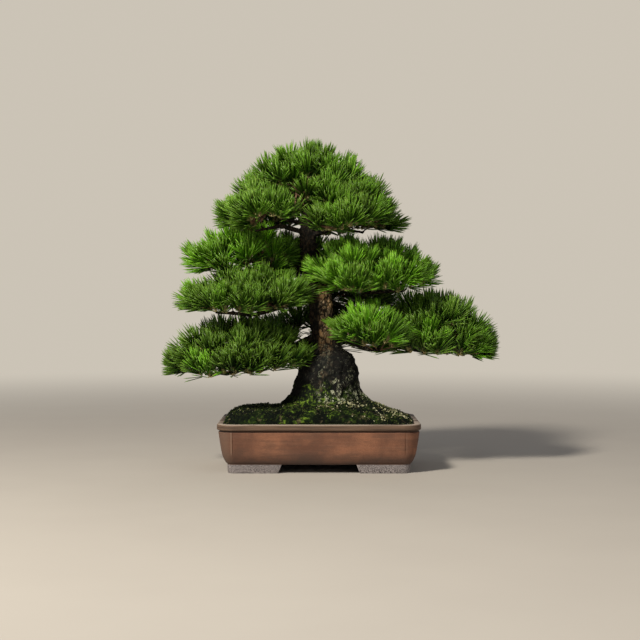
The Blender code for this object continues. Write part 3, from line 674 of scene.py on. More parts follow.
def hill(x, y):
    """Height of the moss, from the middle of the pot, as in the solid."""
    half_x = RIM_LENGTH / 2 - MOUND_IN
    half_y = RIM_DEPTH / 2 - MOUND_IN
    reach = min(((abs(x) / half_x) ** 5 + (abs(y) / half_y) ** 5) ** 0.2, 1.0)
    steep = 16 - 12 * min(max(x / 0.12, 0.0), 1.0)
    z = MOSS_EDGE + MOUND * (1 - reach ** steep)
    z += FOOT_MOUND * math.exp(-(((x - TRUNK_FOOT_X) / 0.072) ** 2 + (y / 0.058) ** 2))
    return z + 0.0022 * noise.noise(Vector((x * 28, y * 28, 0.3)))


CUSHION_HIGH = 0.0040
CUSHION_SUNK = 0.0017


def swell_at(x, y):
    """How far up a cushion of moss a place lies, from 0 in a crease to 1 on top."""
    wave = 0.3 * noise.noise(Vector((x * 30, y * 30, 1.0)))
    far, _ = noise.voronoi(Vector((x * 62, y * 62, 4.0 + wave)))
    return 1 - min(far[0] * 1.25, 1.0) ** 2


def cushions(x, y):
    """Small swellings of the moss, round cushions with creases between them."""
    fine = 0.0008 * noise.noise(Vector((x * 190, y * 190, 9.0)))
    return CUSHION_HIGH * swell_at(x, y) - CUSHION_SUNK + fine


moss_x = RIM_LENGTH / 2 - MOSS_IN
moss_y = RIM_DEPTH / 2 - MOSS_IN
corner = CORNER_RADIUS - MOSS_IN
print("top of the moss", round(hill(TRUNK_FOOT_X, 0), 4), "at the rim", round(hill(0, -moss_y), 4))

# %% Moss bed
BED_THICK = 0.006
CORNER_CUTS = 7
bm = bmesh.new()
bmesh.ops.create_grid(bm, x_segments=150, y_segments=104, size=1.0)
bmesh.ops.scale(bm, vec=(moss_x, moss_y, 1), verts=bm.verts)
for sx in (-1, 1):
    for sy in (-1, 1):
        for k in range(CORNER_CUTS):
            angle = math.radians(90 * (k + 0.5) / CORNER_CUTS)
            way = Vector((sx * math.cos(angle), sy * math.sin(angle), 0))
            spot = Vector((sx * (moss_x - corner), sy * (moss_y - corner), 0)) + way * corner
            geom = bm.verts[:] + bm.edges[:] + bm.faces[:]
            bmesh.ops.bisect_plane(bm, geom=geom, plane_co=spot, plane_no=way, clear_outer=True)
out = bmesh.ops.extrude_face_region(bm, geom=bm.faces[:])
top = {g for g in out["geom"] if isinstance(g, bmesh.types.BMVert)}
for vert in bm.verts:
    x, y = vert.co.x, vert.co.y
    vert.co.z = hill(x, y) + (cushions(x, y) if vert in top else -BED_THICK)
bmesh.ops.translate(bm, vec=MIDDLE, verts=bm.verts)
bmesh.ops.recalc_face_normals(bm, faces=bm.faces)
swells = [swell_at(vert.co.x - MIDDLE.x, vert.co.y - MIDDLE.y) for vert in bm.verts]
bed = piece("moss_bed", bm, moss_finish, ["moss"])
write_along(bed.data, "swell", swells)


# %% [markdown]
# A surface alone looks like felt. Real moss is thousands of tiny stems, so a tuft of a few spikes is
# modelled once and laid out all over the bed. Crumbs, twigs, needles and buds are laid out in the same
# way: the helper copies a pattern into one mesh as often as asked and then moves every copy to its own
# place at once.

# %% Helpers that lay out many copies
FULL_TURN = 6.28


def pattern_mesh(name, bm):
    """A shape that is copied many times, with its faces turned outwards."""
    bmesh.ops.recalc_face_normals(bm, faces=bm.faces)
    return mesh_of(name, bm)


def spindle(sides, foot, profile):
    """A closed slim shape: a circle of some radius drawn up through (height, radius) rings to a point."""
    bm = bmesh.new()
    bmesh.ops.create_circle(bm, cap_ends=True, segments=sides, radius=foot)
    face = bm.faces[:][0]
    for height, radius in profile:
        face = bmesh.ops.extrude_discrete_faces(bm, faces=[face])["faces"][0]
        now = face.verts[0].co.to_2d().length
        bmesh.ops.scale(bm, vec=(radius / now, radius / now, 1), verts=face.verts)
        bmesh.ops.translate(bm, vec=(0, 0, height - face.verts[0].co.z), verts=face.verts)
    bmesh.ops.pointmerge(bm, verts=face.verts, merge_co=(0, 0, profile[-1][0]))
    bmesh.ops.holes_fill(bm, edges=[e for e in bm.edges if e.is_boundary], sides=0)
    return bm


def lay_out(name, pattern, turns, spots, bends=None):
    """Copies of a pattern, each with a 3 by 3 turn and size, a spot, and a bend across its length."""
    count = len(spots)
    bm = bmesh.new()
    for _ in range(count):
        bm.from_mesh(pattern)
    mesh = mesh_of(name, bm)
    own = np.zeros(len(pattern.vertices) * 3)
    pattern.vertices.foreach_get("co", own)
    own = own.reshape(1, -1, 3).repeat(count, axis=0)
    along = np.clip(own[:, :, 2], 0, 1)
    if bends is not None:
        own[:, :, :2] += bends[:, None, :] * (along ** 2)[:, :, None]
    laid = np.einsum("nij,nvj->nvi", turns, own) + spots[:, None, :]
    mesh.vertices.foreach_set("co", laid.reshape(-1))
    mesh.update()
    return mesh, along


def axes_along(ways, spin):
    """For each direction, a turn that brings the upright axis to it, spun by an angle."""
    ways = ways / np.linalg.norm(ways, axis=1, keepdims=True)
    side = np.cross(ways, np.array([0.31, 0.17, 0.93]))
    side /= np.linalg.norm(side, axis=1, keepdims=True)
    other = np.cross(ways, side)
    c = np.cos(spin)[:, None]
    s = np.sin(spin)[:, None]
    return np.stack([side * c + other * s, other * c - side * s, ways], axis=2)


def slim_turns(ways, spin, radius, lengths):
    """Turns and sizes for slim copies: each has its direction, its spin, a radius and a length."""
    thick = np.broadcast_to(radius, lengths.shape)
    return axes_along(ways, spin) * np.stack([thick, thick, lengths], axis=1)[:, None, :]


# %% Moss tufts
MOSS_TUFTS = 5200
SPIKES = 6
STEP_WIDTH = 0.002
chance = np.random.default_rng(21)
bm = bmesh.new()
for k in range(SPIKES):
    outer = k / (SPIKES - 1)
    spike = bmesh.new()
    bmesh.ops.create_cone(spike, cap_ends=False, segments=3, radius1=0.11, radius2=0.0, depth=1.0)
    bmesh.ops.translate(spike, vec=(0, 0, 0.42), verts=spike.verts)
    heading = k * 2.4
    lean = 0.15 + 0.55 * outer
    bmesh.ops.rotate(spike, verts=spike.verts, matrix=Matrix.Rotation(lean, 3, "Y"))
    bmesh.ops.rotate(spike, verts=spike.verts, matrix=Matrix.Rotation(heading, 3, "Z"))
    aside = Vector((math.cos(heading), -math.sin(heading), 0)) * 0.30 * outer
    bmesh.ops.translate(spike, vec=aside, verts=spike.verts)
    bmesh.ops.remove_doubles(spike, verts=spike.verts, dist=0.0001)
    pour(spike, bm)
tuft = pattern_mesh("moss_tuft", bm)
spots = np.zeros((MOSS_TUFTS, 3))
ways = np.zeros((MOSS_TUFTS, 3))
swells = np.zeros(MOSS_TUFTS)
done = 0
while done < MOSS_TUFTS:
    x = chance.uniform(-moss_x, moss_x)
    y = chance.uniform(-moss_y, moss_y)
    over = max(abs(x) - (moss_x - corner), 0) ** 2 + max(abs(y) - (moss_y - corner), 0) ** 2
    if over > (corner - 0.0004) ** 2:
        continue
    step_x = (hill(x + STEP_WIDTH, y) - hill(x - STEP_WIDTH, y)) / (2 * STEP_WIDTH)
    step_y = (hill(x, y + STEP_WIDTH) - hill(x, y - STEP_WIDTH)) / (2 * STEP_WIDTH)
    spots[done] = MIDDLE + Vector((x, y, hill(x, y) + cushions(x, y) - 0.0003))
    ways[done] = (-step_x, -step_y, 1.0)
    swells[done] = swell_at(x, y)
    done += 1
ways += chance.normal(0, 0.25, ways.shape)
size = chance.uniform(0.0016, 0.0031, MOSS_TUFTS)
turns = axes_along(ways, chance.uniform(0, FULL_TURN, MOSS_TUFTS)) * size[:, None, None]
mesh, along = lay_out("moss_tufts", tuft, turns, spots)
write_along(mesh, "along", along)
write_along(mesh, "tone", np.repeat(chance.uniform(0, 1, MOSS_TUFTS) ** 3, len(tuft.vertices)))
write_along(mesh, "swell", np.repeat(swells, len(tuft.vertices)))

# %% Finish of the moss tufts
tuft_finish, tree, shader = finish_of("moss_tufts", 0.8, 0.15)
colour, small = moss_colours(tree, read(tree, "swell"))
colour = tint(tree, colour, (0.090, 0.125, 0.026), read(tree, "tone"), 0.35, 0.9)
lit = scaled(tree, colour, (1.9, 1.8, 1.6))
paint(tree, shader, blend(tree, read(tree, "along"), colour, lit))
settle("moss_tufts", mesh, tuft_finish, smooth=False)

# %% [markdown]
# Crumbs of pale gravel lie on the moss, most of them just before the trunk and on the right slope, and
# pale lichen grows there in four clusters. One lump with uneven corners is enough as a pattern for both
# when each copy is turned, flattened and sized by chance.

# %% Crumbs on the moss
FLAKES = 110
CRUMBS = 900 + FLAKES
# Each cluster is its place in x and y and how far it spreads.
LICHEN = (
    (0.019, -0.048, 0.007), (0.036, -0.046, 0.006), (0.060, -0.050, 0.010), (0.122, -0.040, 0.012),
)
bm = bmesh.new()
bmesh.ops.create_icosphere(bm, subdivisions=1, radius=1.0)
shaker = random.Random(4)
for vert in bm.verts:
    vert.co *= shaker.uniform(0.45, 1.2)
lump = pattern_mesh("lump", bm)
spots = []
for k in range(FLAKES):
    x0, y0, wide = LICHEN[k % len(LICHEN)]
    x = x0 + chance.normal(0, wide)
    y = y0 + chance.normal(0, wide * 0.7)
    spots.append(MIDDLE + Vector((x, y, hill(x, y) + cushions(x, y) + 0.0012)))
while len(spots) < CRUMBS:
    x = chance.uniform(-moss_x + 0.004, moss_x - 0.004)
    y = chance.uniform(-moss_y + 0.004, moss_y - 0.004)
    crowd = 0.05 + 0.45 * min(max((x + 0.02) / 0.11, 0.0), 1.0)
    crowd += 2.0 * math.exp(-(((x - 0.020) / 0.020) ** 2 + ((y + 0.052) / 0.016) ** 2))
    crowd *= 0.08 + max(noise.noise(Vector((x * 42, y * 42, 2.0))) * 2.8, 0.0)
    if chance.uniform() > crowd:
        continue
    spots.append(MIDDLE + Vector((x, y, hill(x, y) + cushions(x, y) + chance.uniform(0.0004, 0.0016))))
spots = np.array(spots)
shape = chance.uniform(0.6, 1.2, (CRUMBS, 3))
size = shape * (0.0004 + 0.0024 * chance.uniform(0, 1, (CRUMBS, 1)) ** 2.5)
size[:FLAKES] = chance.uniform(0.0006, 0.0030, (FLAKES, 3))
ways = chance.normal(0, 1, (CRUMBS, 3))
turns = axes_along(ways, chance.uniform(0, FULL_TURN, CRUMBS)) * size[:, None, :]
mesh, _ = lay_out("crumbs", lump, turns, spots)
tones = chance.uniform(0, 1, CRUMBS)
tones[:FLAKES] = chance.uniform(0.55, 1.0, FLAKES)
write_along(mesh, "tone", np.repeat(tones, len(lump.vertices)))

# %% Finish of the crumbs
crumb_finish, tree, shader = finish_of("gravel_and_lichen", 0.9, 0.2)
tone = read(tree, "tone")
colour = tint(tree, (0.12, 0.10, 0.045), (0.28, 0.27, 0.13), tone, 0.2, 0.5)
colour = tint(tree, colour, (0.48, 0.46, 0.29), tone, 0.6, 0.9)
mottle = cloud(tree, place_of(tree), 900.0)
paint(tree, shader, tint(tree, colour, (0.14, 0.15, 0.07), mottle, 0.4, 0.7, 0.0, 0.5))
raise_by(tree, shader, mottle, 0.0005, 0.6)
settle("crumbs", mesh, crumb_finish, smooth=False)

# %% [markdown]
# Old black pine bark splits into thick plates. The solid has the trunk and branches at their true
# thickness, so its copy is welded and remeshed into small even faces, and the splits are pressed into
# that. A cell pattern stretched along the trunk gives the plates: close to the border between two cells
# the surface sinks. The plates get smaller towards thin branches. How deep a point lies in a split is
# written on the mesh, so the finish can darken it, and so is how low it lies, for the moss.

# %% Remeshed wood
WOOD_VOXEL = 0.00168
raw = throwaway("raw_wood", merged_copy("wood"))
mod = raw.modifiers.new("even_faces", "REMESH")
mod.mode = "VOXEL"
mod.voxel_size = WOOD_VOXEL
mod.adaptivity = 0.0
wood = baked(raw)
for _ in range(3):
    bmesh.ops.smooth_vert(
        wood, verts=wood.verts, factor=0.5, use_axis_x=True, use_axis_y=True, use_axis_z=True
    )
wood.normal_update()
print("wood faces", len(wood.faces))

# %% Bark plates
# Each row is a height, the middle of the trunk there in x and y, and its radius.
TRUNK_LINE = np.array((
    (0.060, 0.0120, 0.000, 0.0540), (0.112, 0.0120, 0.000, 0.0540), (0.150, 0.0140, 0.000, 0.0535),
    (0.178, 0.0165, 0.001, 0.0498), (0.188, 0.0188, 0.001, 0.0450), (0.1965, 0.0192, 0.001, 0.0375),
    (0.204, 0.0160, 0.001, 0.0290), (0.215, 0.0122, 0.000, 0.0238), (0.246, 0.0070, 0.000, 0.0230),
    (0.280, 0.0040, 0.002, 0.0212), (0.318, -0.0020, 0.004, 0.0200), (0.364, -0.0150, 0.004, 0.0175),
    (0.412, -0.0205, 0.000, 0.0135), (0.460, -0.0210, -0.003, 0.0085), (0.498, -0.0200, 0.000, 0.0038),
))
BARK_SEED = 11
TWIG_PLATE = 0.0052
KNOBBLY_BELOW = 0.215
CLIMB = 0.030


def trunk_at(z):
    """Distance from the pot's middle in x and y, and radius, of the trunk at a height."""
    return [float(np.interp(z, TRUNK_LINE[:, 0], TRUNK_LINE[:, i])) for i in (1, 2, 3)]


# The swirl comes from vector noise, which is seeded by the clock unless it is told otherwise.
noise.seed_set(BARK_SEED)
crack = np.zeros(len(wood.verts), np.float32)
mossy = np.zeros(len(wood.verts), np.float32)
moves = []
for i, vert in enumerate(wood.verts):
    spot = vert.co - MIDDLE
    cx, cy, radius = trunk_at(spot.z)
    away = math.hypot(spot.x - cx, (spot.y - cy) / 0.88)
    on_trunk = 1.0
    if spot.z > 0.125:
        on_trunk = min(max(1 - (away - radius * 1.15 - 0.001) / 0.008, 0.0), 1.0)
    thick = radius if on_trunk > 0.5 else 0.006
    plate = 0.0046 + 0.0040 * min(thick / 0.05, 1.0)
    swirl = noise.noise_vector(spot * 70) * 0.0030 + noise.noise_vector(spot * 210) * 0.0014
    x, y, z = (spot[k] + swirl[k] for k in range(3))
    at = Vector((x / plate, y / plate, z / (plate * 2.1)))
    if on_trunk < 0.5:
        at = (spot + swirl) / TWIG_PLATE
    far, _ = noise.voronoi(at)
    border = min((far[1] - far[0]) / 0.38, 1.0)
    rough = noise.noise(spot * 260) * 0.5 + noise.noise(spot * 620) * 0.25
    deep = (0.0006 + 0.0016 * min(thick / 0.030, 1.0)) if on_trunk > 0.5 else 0.0004
    deep *= 1.0 if spot.z > 0.20 else 0.85
    crack[i] = border
    over_pot = abs(spot.x) < 0.16 and abs(spot.y) < 0.11
    ground = hill(spot.x, spot.y) if over_pot else 0.1
    low = 1 - (spot.z - ground - 0.004) / CLIMB + noise.noise(spot * 45) * 0.9
    mossy[i] = min(max(low, 0.0), 1.0)
    knobbly = min(max((KNOBBLY_BELOW - spot.z) / 0.04, 0.0), 1.0)
    lumps = (noise.noise(spot * 52) * 0.0026 + noise.noise(spot * 120) * 0.0016) * knobbly
    grain = rough * 0.0007 * (0.3 + 0.7 * on_trunk) + 0.0004
    moves.append(vert.normal * (lumps + deep * (border ** 0.6 - 1.0) + grain))
for vert, move in zip(wood.verts, moves):
    vert.co += move
print("split points", int((crack < 0.5).sum()), "of", len(crack))
wood_mesh = mesh_of("trunk_and_branches", wood)
write_along(wood_mesh, "plate", crack)
write_along(wood_mesh, "mossy", mossy)

# %% [markdown]
# The bark's colour goes from near black in the splits to a golden brown skin where plates have flaked.
# That skin shows on a strip of the trunk between the pads, and its brightness there is partly painted
# light. Beside and above the strip the bark is darkened as painted shadow of the pads, and the thick foot
# below it is blue black. Pale grey green lichen sits in flecks, thicker near the ground, and moss creeps up
# from the bed. All of it is noise that is let through by the place on the tree.

# %% Bark skin
bark, tree, shader = finish_of("pine_bark", 0.88, 0.12)
up = height_of(tree)
plates = read(tree, "plate")
green = read(tree, "mossy")
broad = cloud(tree, place_of(tree), 45.0, 4.0, 0.6)
flake = cloud(tree, place_of(tree, (1, 1, 0.5)), 420.0, 4.0, 0.65)
across = sums(tree, "SUBTRACT", height_of(tree, 0), MIDDLE.x)
# The bright golden skin is partly painted light on the lit strip of the trunk.
skin_and_painted_light = tint(tree, (0.160, 0.100, 0.060), (0.720, 0.420, 0.190), broad, 0.40, 0.60)
skin_and_painted_light = tint(tree, skin_and_painted_light, (0.850, 0.660, 0.400), flake, 0.46, 0.66, 0.0, 0.8)
low_down = tint(tree, (0.003, 0.008, 0.009), (0.020, 0.030, 0.027), flake, 0.46, 0.68)
low_down = tint(tree, low_down, (0.058, 0.044, 0.028), broad, 0.54, 0.64, 0.0, 0.55)
skin_and_painted_light = tint(tree, skin_and_painted_light, low_down, up, 0.19, 0.245, 0.94, 0.0)
# Painted shadow of the pads: above the lit strip and on both sides of it the bark is darkened.
shaded = span(tree, up, 0.300, 0.335, 0.0, 0.95)
shaded = sums(tree, "MAXIMUM", shaded, span(tree, across, -0.003, 0.004, 0.95, 0.0))
shaded = sums(tree, "MAXIMUM", shaded, span(tree, across, 0.019, 0.025, 0.0, 0.95))
skin_and_painted_light = blend(tree, shaded, skin_and_painted_light, (0.010, 0.009, 0.008))
skin_and_painted_light = tint(tree, skin_and_painted_light, (0.007, 0.008, 0.007), plates, 0.10, 0.75, 0.92, 0.0)
print("bark nodes", len(tree.nodes))

# %% Lichen and moss on the bark
lichen = cloud(tree, place_of(tree, (1, 1, 1), (2, 5, 8)), 105.0, 8.0, 0.80)
where = cloud(tree, place_of(tree, (1, 1, 1), (4, 1, 3)), 30.0, 3.0, 0.6)
fleck = times(tree, span(tree, lichen, 0.550, 0.595), span(tree, where, 0.36, 0.54))
fleck = times(tree, fleck, span(tree, up, 0.150, 0.185, 1.0, 0.40))
fleck = times(tree, fleck, span(tree, height_of(tree, 0), -0.050, 0.000, 0.10, 1.0))
pale = tint(tree, (0.110, 0.120, 0.060), (0.480, 0.490, 0.340), flake, 0.40, 0.60)
skin_and_painted_light = blend(tree, fleck, skin_and_painted_light, pale)
moss_tone, small = moss_colours(tree)
climbing = sums(tree, "ADD", times(tree, green, 0.7), times(tree, lichen, 0.9))
skin_and_painted_light = tint(tree, skin_and_painted_light, moss_tone, climbing, 0.62, 0.72, 0.0, 0.9)
crust = cloud(tree, place_of(tree, (1, 1, 1), (6, 3, 1)), 110.0, 7.0, 0.72)
crust = times(tree, span(tree, crust, 0.535, 0.575), span(tree, up, 0.155, 0.132))
crust = times(tree, crust, span(tree, across, -0.010, 0.012, 0.0, 1.0))
skin_and_painted_light = blend(tree, crust, skin_and_painted_light, pale)
paint(tree, shader, skin_and_painted_light)
bump = raise_by(tree, shader, flake, 0.0020, 0.9)
raise_by(tree, shader, small, 0.0016, 0.5, bump)
settle("trunk_and_branches", wood_mesh, bark, ["wood"])


# %% [markdown]
# Each spray of the solids is a forked stem whose end bands are raised into spikes, far fewer than a pine
# has. A spike ends in a point where just three long edges meet, so the points tell where needles leave
# the shoot and which way they lean. Pushing the points back down leaves the bare stems, which one round
# of subdivision makes round.

# %% Read the shoots from the solids
PADS = {
    "crown": range(1, 12), "left_upper": range(12, 15), "left_middle": range(15, 19),
    "left_low": range(19, 25), "right_middle": range(25, 30), "right_front": range(30, 32),
    "right_low": range(32, 37), "back_low": range(37, 40), "back_right": range(40, 42),
    "back_high": range(42, 44),
}
SPIKE_LENGTH = 0.018
SHOOT_WIDTH = 0.0052


def spikes_of(bm):
    """The base and point of every spike, with the point's vertex."""
    found = []
    for vert in bm.verts:
        if len(vert.link_edges) == 3 and min(e.calc_length() for e in vert.link_edges) > SPIKE_LENGTH:
            base = sum((e.other_vert(vert).co for e in vert.link_edges), Vector()) / 3
            found.append((vert, base))
    return found


def shoots_of(spikes):
    """Group spikes whose bases are close together into shoots."""
    bases = np.array([base for _, base in spikes])
    label = np.arange(len(spikes))
    near = np.linalg.norm(bases[:, None] - bases[None], axis=2) < SHOOT_WIDTH
    for i in range(len(spikes)):
        same = label[near[i]]
        label[np.isin(label, same)] = same.min()
    groups = []
    for value in np.unique(label):
        groups.append([spikes[i] for i in np.flatnonzero(label == value)])
    return groups


shoots = {}
stems = bmesh.new()
for pad, numbers in PADS.items():
    shoots[pad] = []
    for number in numbers:
        bm = merged_copy("spray_%02d" % number)
        spikes = spikes_of(bm)
        for group in shoots_of(spikes):
            bases = np.array([base for _, base in group])
            tips = np.array([vert.co for vert, _ in group])
            shoots[pad].append((bases, tips))
        for vert, base in spikes:
            vert.co = base
        bmesh.ops.dissolve_verts(bm, verts=[vert for vert, _ in spikes])
        pour(bm, stems)
print("shoots", {pad: len(found) for pad, found in shoots.items()}, sum(len(f) for f in shoots.values()))

# %% [markdown]
# The solids carry only part of the tufts. Each new shoot takes the spikes of the nearest real one, turned
# to its own heading, so that it keeps the habit of the pad it stands in. A shoot's heading is the mean of
# its spikes.

# %% Turning a shoot
def heading_of(bases, tips):
    """The way a shoot points."""
    spikes = tips - bases
    mean = (spikes / np.linalg.norm(spikes, axis=1)[:, None]).mean(axis=0)
    return mean / np.linalg.norm(mean)


def moved_shoot(bases, tips, heading, spot, spin, size):
    """A copy of a shoot's spikes at another spot, with another heading."""
    middle = bases.mean(axis=0)
    turn = Vector(heading_of(bases, tips)).rotation_difference(Vector(heading)).to_matrix()
    turn = np.array(Matrix.Rotation(spin, 3, Vector(heading)) @ turn) * size
    return (bases - middle) @ turn.T + spot, (tips - middle) @ turn.T + spot


# %% [markdown]
# A real pad is a low dome set with tufts in rows, the lowest row on its rim. New shoots fill rings over
# one dome for each pad, and over several for the crown and the right middle pad, which gives them their
# lobes. A grower keeps the lower edge of a pad clean, so each pad in front has a line that its tufts stay
# above, given as places from left to right with a height. A few boxes are kept open: gaps between the
# pads, where the light shows through, and the notch in the front of the crown.

# %% Outlines of the pads
# How close two shoots may stand, and how far apart the places on a ring are.
CLOSEST = {"crown": 0.0178, "left_low": 0.0160}
SPACING = {"crown": 0.0285, "left_low": 0.0260}
# How much further than the shoots of the solids a pad reaches down, up, and to the left and right.
LOWER = {
    "left_low": 0.012, "right_low": 0.012, "left_middle": 0.010, "left_upper": 0.004, "crown": 0.004,
    "right_middle": 0.008,
}
HIGHER = {"left_upper": 0.008}
WIDER = {
    "right_middle": (0.020, 0.004), "left_middle": (0.000, 0.014), "left_low": (0.004, 0.008),
    "right_low": (0.000, 0.006), "left_upper": (0.004, 0.020),
}
LOWER_EDGES = {
    "crown": (
        (-0.187, 0.440), (-0.144, 0.430), (-0.100, 0.436), (-0.062, 0.436), (-0.052, 0.470),
        (-0.032, 0.470), (-0.018, 0.428), (0.002, 0.413), (0.040, 0.413), (0.060, 0.426), (0.113, 0.432),
        (0.139, 0.436),
    ),
    "left_upper": (
        (-0.227, 0.366), (-0.196, 0.354), (-0.136, 0.361), (-0.098, 0.377), (-0.067, 0.388),
        (-0.048, 0.394), (-0.040, 0.470),
    ),
    "left_middle": (
        (-0.264, 0.300), (-0.204, 0.284), (-0.178, 0.278), (-0.110, 0.277), (-0.058, 0.287),
        (-0.015, 0.310),
    ),
    "left_low": (
        (-0.270, 0.172), (-0.204, 0.167), (-0.136, 0.171), (-0.084, 0.176), (-0.050, 0.178),
        (-0.024, 0.188),
    ),
    "right_middle": (
        (-0.012, 0.357), (0.002, 0.340), (0.024, 0.318), (0.045, 0.312), (0.139, 0.310), (0.160, 0.318),
        (0.182, 0.338),
    ),
    "right_front": ((0.027, 0.260), (0.045, 0.235), (0.070, 0.219), (0.122, 0.214), (0.173, 0.218)),
    "right_low": ((0.088, 0.219), (0.139, 0.208), (0.225, 0.201), (0.276, 0.197), (0.311, 0.202)),
}
# A place that lies less than this under the lower edge is lifted on to it. Further down it stays empty.
LIFT = 0.020
FRONT_ROWS = -0.010
# An opening or the notch runs from the first number to the second across, and from the third up to the
# fourth.
OPENINGS = ((-0.064, -0.016, 0.205, 0.300), (0.020, 0.052, 0.255, 0.312), (-0.020, 0.120, 0.350, 0.420))
NOTCH = (-0.060, 0.004, 0.375, 0.492)
NOTCH_BACK = 0.030
# A lobe is a share of its pad's box: from and to across, from front to back, and from low to high.
WHOLE = ((0, 1, 0, 1, 0, 1),)
LOBES = {
    "crown": (
        (0.20, 0.72, 0.08, 0.92, 0.42, 1.0), (0.02, 0.50, 0, 1, 0.10, 0.55), (0.52, 0.94, 0, 1, 0, 0.54),
        (0.36, 0.64, 0, 0.5, 0, 0.25),
    ),
    "right_middle": (
        (0.10, 1, 0, 1, 0, 1), (0.14, 0.52, -0.16, 0.34, 0.04, 0.92), (0, 0.45, 0, 0.8, 0.2, 1.05),
    ),
    "left_middle": ((0, 1, 0, 1, 0, 0.70),),
}
print("lower edges", len(LOWER_EDGES), "lobes", {pad: len(lobes) for pad, lobes in LOBES.items()})


# %% [markdown]
# Tufts stand upright, and lean out only towards the two ends of the pad. A place too close to a shoot
# that is there already stays empty, and so does one place in twelve, by chance.

# %% Places for new shoots
MISSING = 0.08
RIM_CLOSER = 0.68
SCATTER = 0.0036


def rings(low, high, spacing, chance):
    """Places over a dome in rings: the ring, the place, and how far out it is in x and y, from -1 to 1."""
    half = (high - low)[:2] / 2
    tall = high[2] - low[2]
    arc = 0.5 * math.pi * math.sqrt((half.mean() ** 2 + tall ** 2) / 2)
    levels = max(3, round(arc / spacing) + 1)
    for level in range(levels):
        rise = math.radians(90) * level / (levels - 1)
        gap = spacing * (RIM_CLOSER if level == 0 else 1.0)
        count = max(2, round(2 * math.pi * math.cos(rise) * half.mean() / gap))
        first = chance.uniform(0, 1)
        for k in range(count):
            turn = 2 * math.pi * (k + first + chance.uniform(-0.25, 0.25)) / count
            out = (math.cos(rise) + 0.04) * np.array([math.cos(turn), math.sin(turn)])
            spot = np.array([*((low + high)[:2] / 2 + out * half), low[2] + tall * math.sin(rise)])
            if chance.uniform() > MISSING:
                yield level, spot + chance.normal(0, SCATTER, 3), out


def lower_edge(pad, x, y):
    """Height of the pad's lower edge at a place. Behind the front rows it is lower and more even."""
    line = np.array(LOWER_EDGES.get(pad, ((0, 0),)))
    heights = line[:, 1]
    if y > FRONT_ROWS:
        heights = np.minimum(heights, heights.min() + 0.012)
    return np.interp(x, line[:, 0], heights)


def stays_open(pad, x, y, z):
    """Whether a place of the back pads lies in an opening, or one of the crown in its notch."""
    boxes = ()
    if pad.startswith("back"):
        boxes = OPENINGS
    elif pad == "crown" and y < NOTCH_BACK:
        boxes = (NOTCH,)
    return any(x0 < x < x1 and z0 < z < z1 for x0, x1, z0, z1 in boxes)


# %% More shoots between those of the solids
added = {}
for number, (pad, found) in enumerate(shoots.items()):
    chance = np.random.default_rng(50 + number)
    middles = np.array([bases.mean(axis=0) for bases, _ in found])
    more_left, more_right = WIDER.get(pad, (0.004, 0.004))
    pad_low = middles.min(axis=0) - (more_left, 0.008, LOWER.get(pad, 0.010))
    pad_high = middles.max(axis=0) + (more_right, 0.002, HIGHER.get(pad, 0.0))
    taken = list(middles)
    added[pad] = []
    for lobe in LOBES.get(pad, WHOLE):
        low = pad_low + (pad_high - pad_low) * lobe[0::2]
        high = pad_low + (pad_high - pad_low) * lobe[1::2]
        for level, spot, out in rings(low, high, SPACING.get(pad, 0.024), chance):
            leaning = np.array([0.75 * out[0] ** 3 + 0.15 * out[0], 0.24 * out[1], 0.85])
            heading = leaning + chance.normal(0, 0.11, 3)
            heading = heading / np.linalg.norm(heading)
            x, y, z = Vector(spot) - MIDDLE
            edge = lower_edge(pad, x, y)
            room = np.linalg.norm((np.array(taken) - spot) * (1, 1, 0.7), axis=1).min()
            crowded = room < (0.012 if level == 0 else CLOSEST.get(pad, 0.015))
            if crowded or z < edge - LIFT or stays_open(pad, x, y, z):
                continue
            spot[2] = max(spot[2], edge + chance.uniform(-0.001, 0.003))
            bases, tips = found[int(np.argmin(np.linalg.norm(middles - spot, axis=1)))]
            spin = chance.uniform(0, FULL_TURN)
            new = moved_shoot(bases, tips, heading, spot, spin, chance.uniform(0.90, 1.06))
            taken.append(spot)
            added[pad].append((*new, heading))
tufts = {pad: found + [(bases, tips) for bases, tips, _ in added[pad]] for pad, found in shoots.items()}
print("added", {pad: len(new) for pad, new in added.items()}, sum(len(new) for new in added.values()))

# %% [markdown]
# The young stems are tan with the rough stubs of fallen needles. Subdivision rounds them, and because it
# also shrinks a stem of three sides, the stem is swelled again along its normals.

# %% Young stems
STEM_SWELL = 0.0004
stem_object = throwaway("stems_raw", stems)
mod = stem_object.modifiers.new("round", "SUBSURF")
mod.levels = 1
mod.render_levels = 1
stems = baked(stem_object)
stems.normal_update()
for vert in stems.verts:
    vert.co += vert.normal * STEM_SWELL
stem_finish, tree, shader = finish_of("young_stems", 0.8, 0.25)
stubs = cells(tree, place_of(tree), 800.0).outputs["Distance"]
shade = cloud(tree, place_of(tree), 120.0)
colour = tint(tree, (0.130, 0.070, 0.036), (0.330, 0.215, 0.110), shade, 0.4, 0.65)
paint(tree, shader, tint(tree, colour, (0.035, 0.020, 0.012), stubs, 0.2, 0.7, 0.0, 0.6))
raise_by(tree, shader, stubs, 0.0012, 0.7)
branch_points = [v.co for v in list(wood_mesh.vertices)[::7] if v.co.z > 0.20]
anchors = np.array([v.co for v in stems.verts] + branch_points)
piece("young_stems", stems, stem_finish)

# %% [markdown]
# The new shoots need wood under them. In a real pad each one ends a side twig, so a slim stick runs to it
# from the nearest point of a stem or a branch. It meets the shoot a little below the needles.

# %% Twigs to the new shoots
SHOOT_FOOT = 0.0055
TWIG_RADIUS = 0.0014
twig = pattern_mesh("twig", spindle(5, 1.0, ((0.35, 0.90), (0.75, 0.80), (1.0, 0.70))))


def sticks(name, starts, ends, radius, finish):
    """One twig pattern laid from each start to each end."""
    starts = np.array(starts)
    ways = np.array(ends) - starts
    turns = slim_turns(ways, np.zeros(len(ways)), radius, np.linalg.norm(ways, axis=1))
    mesh, _ = lay_out(name, twig, turns, starts)
    settle(name, mesh, finish)


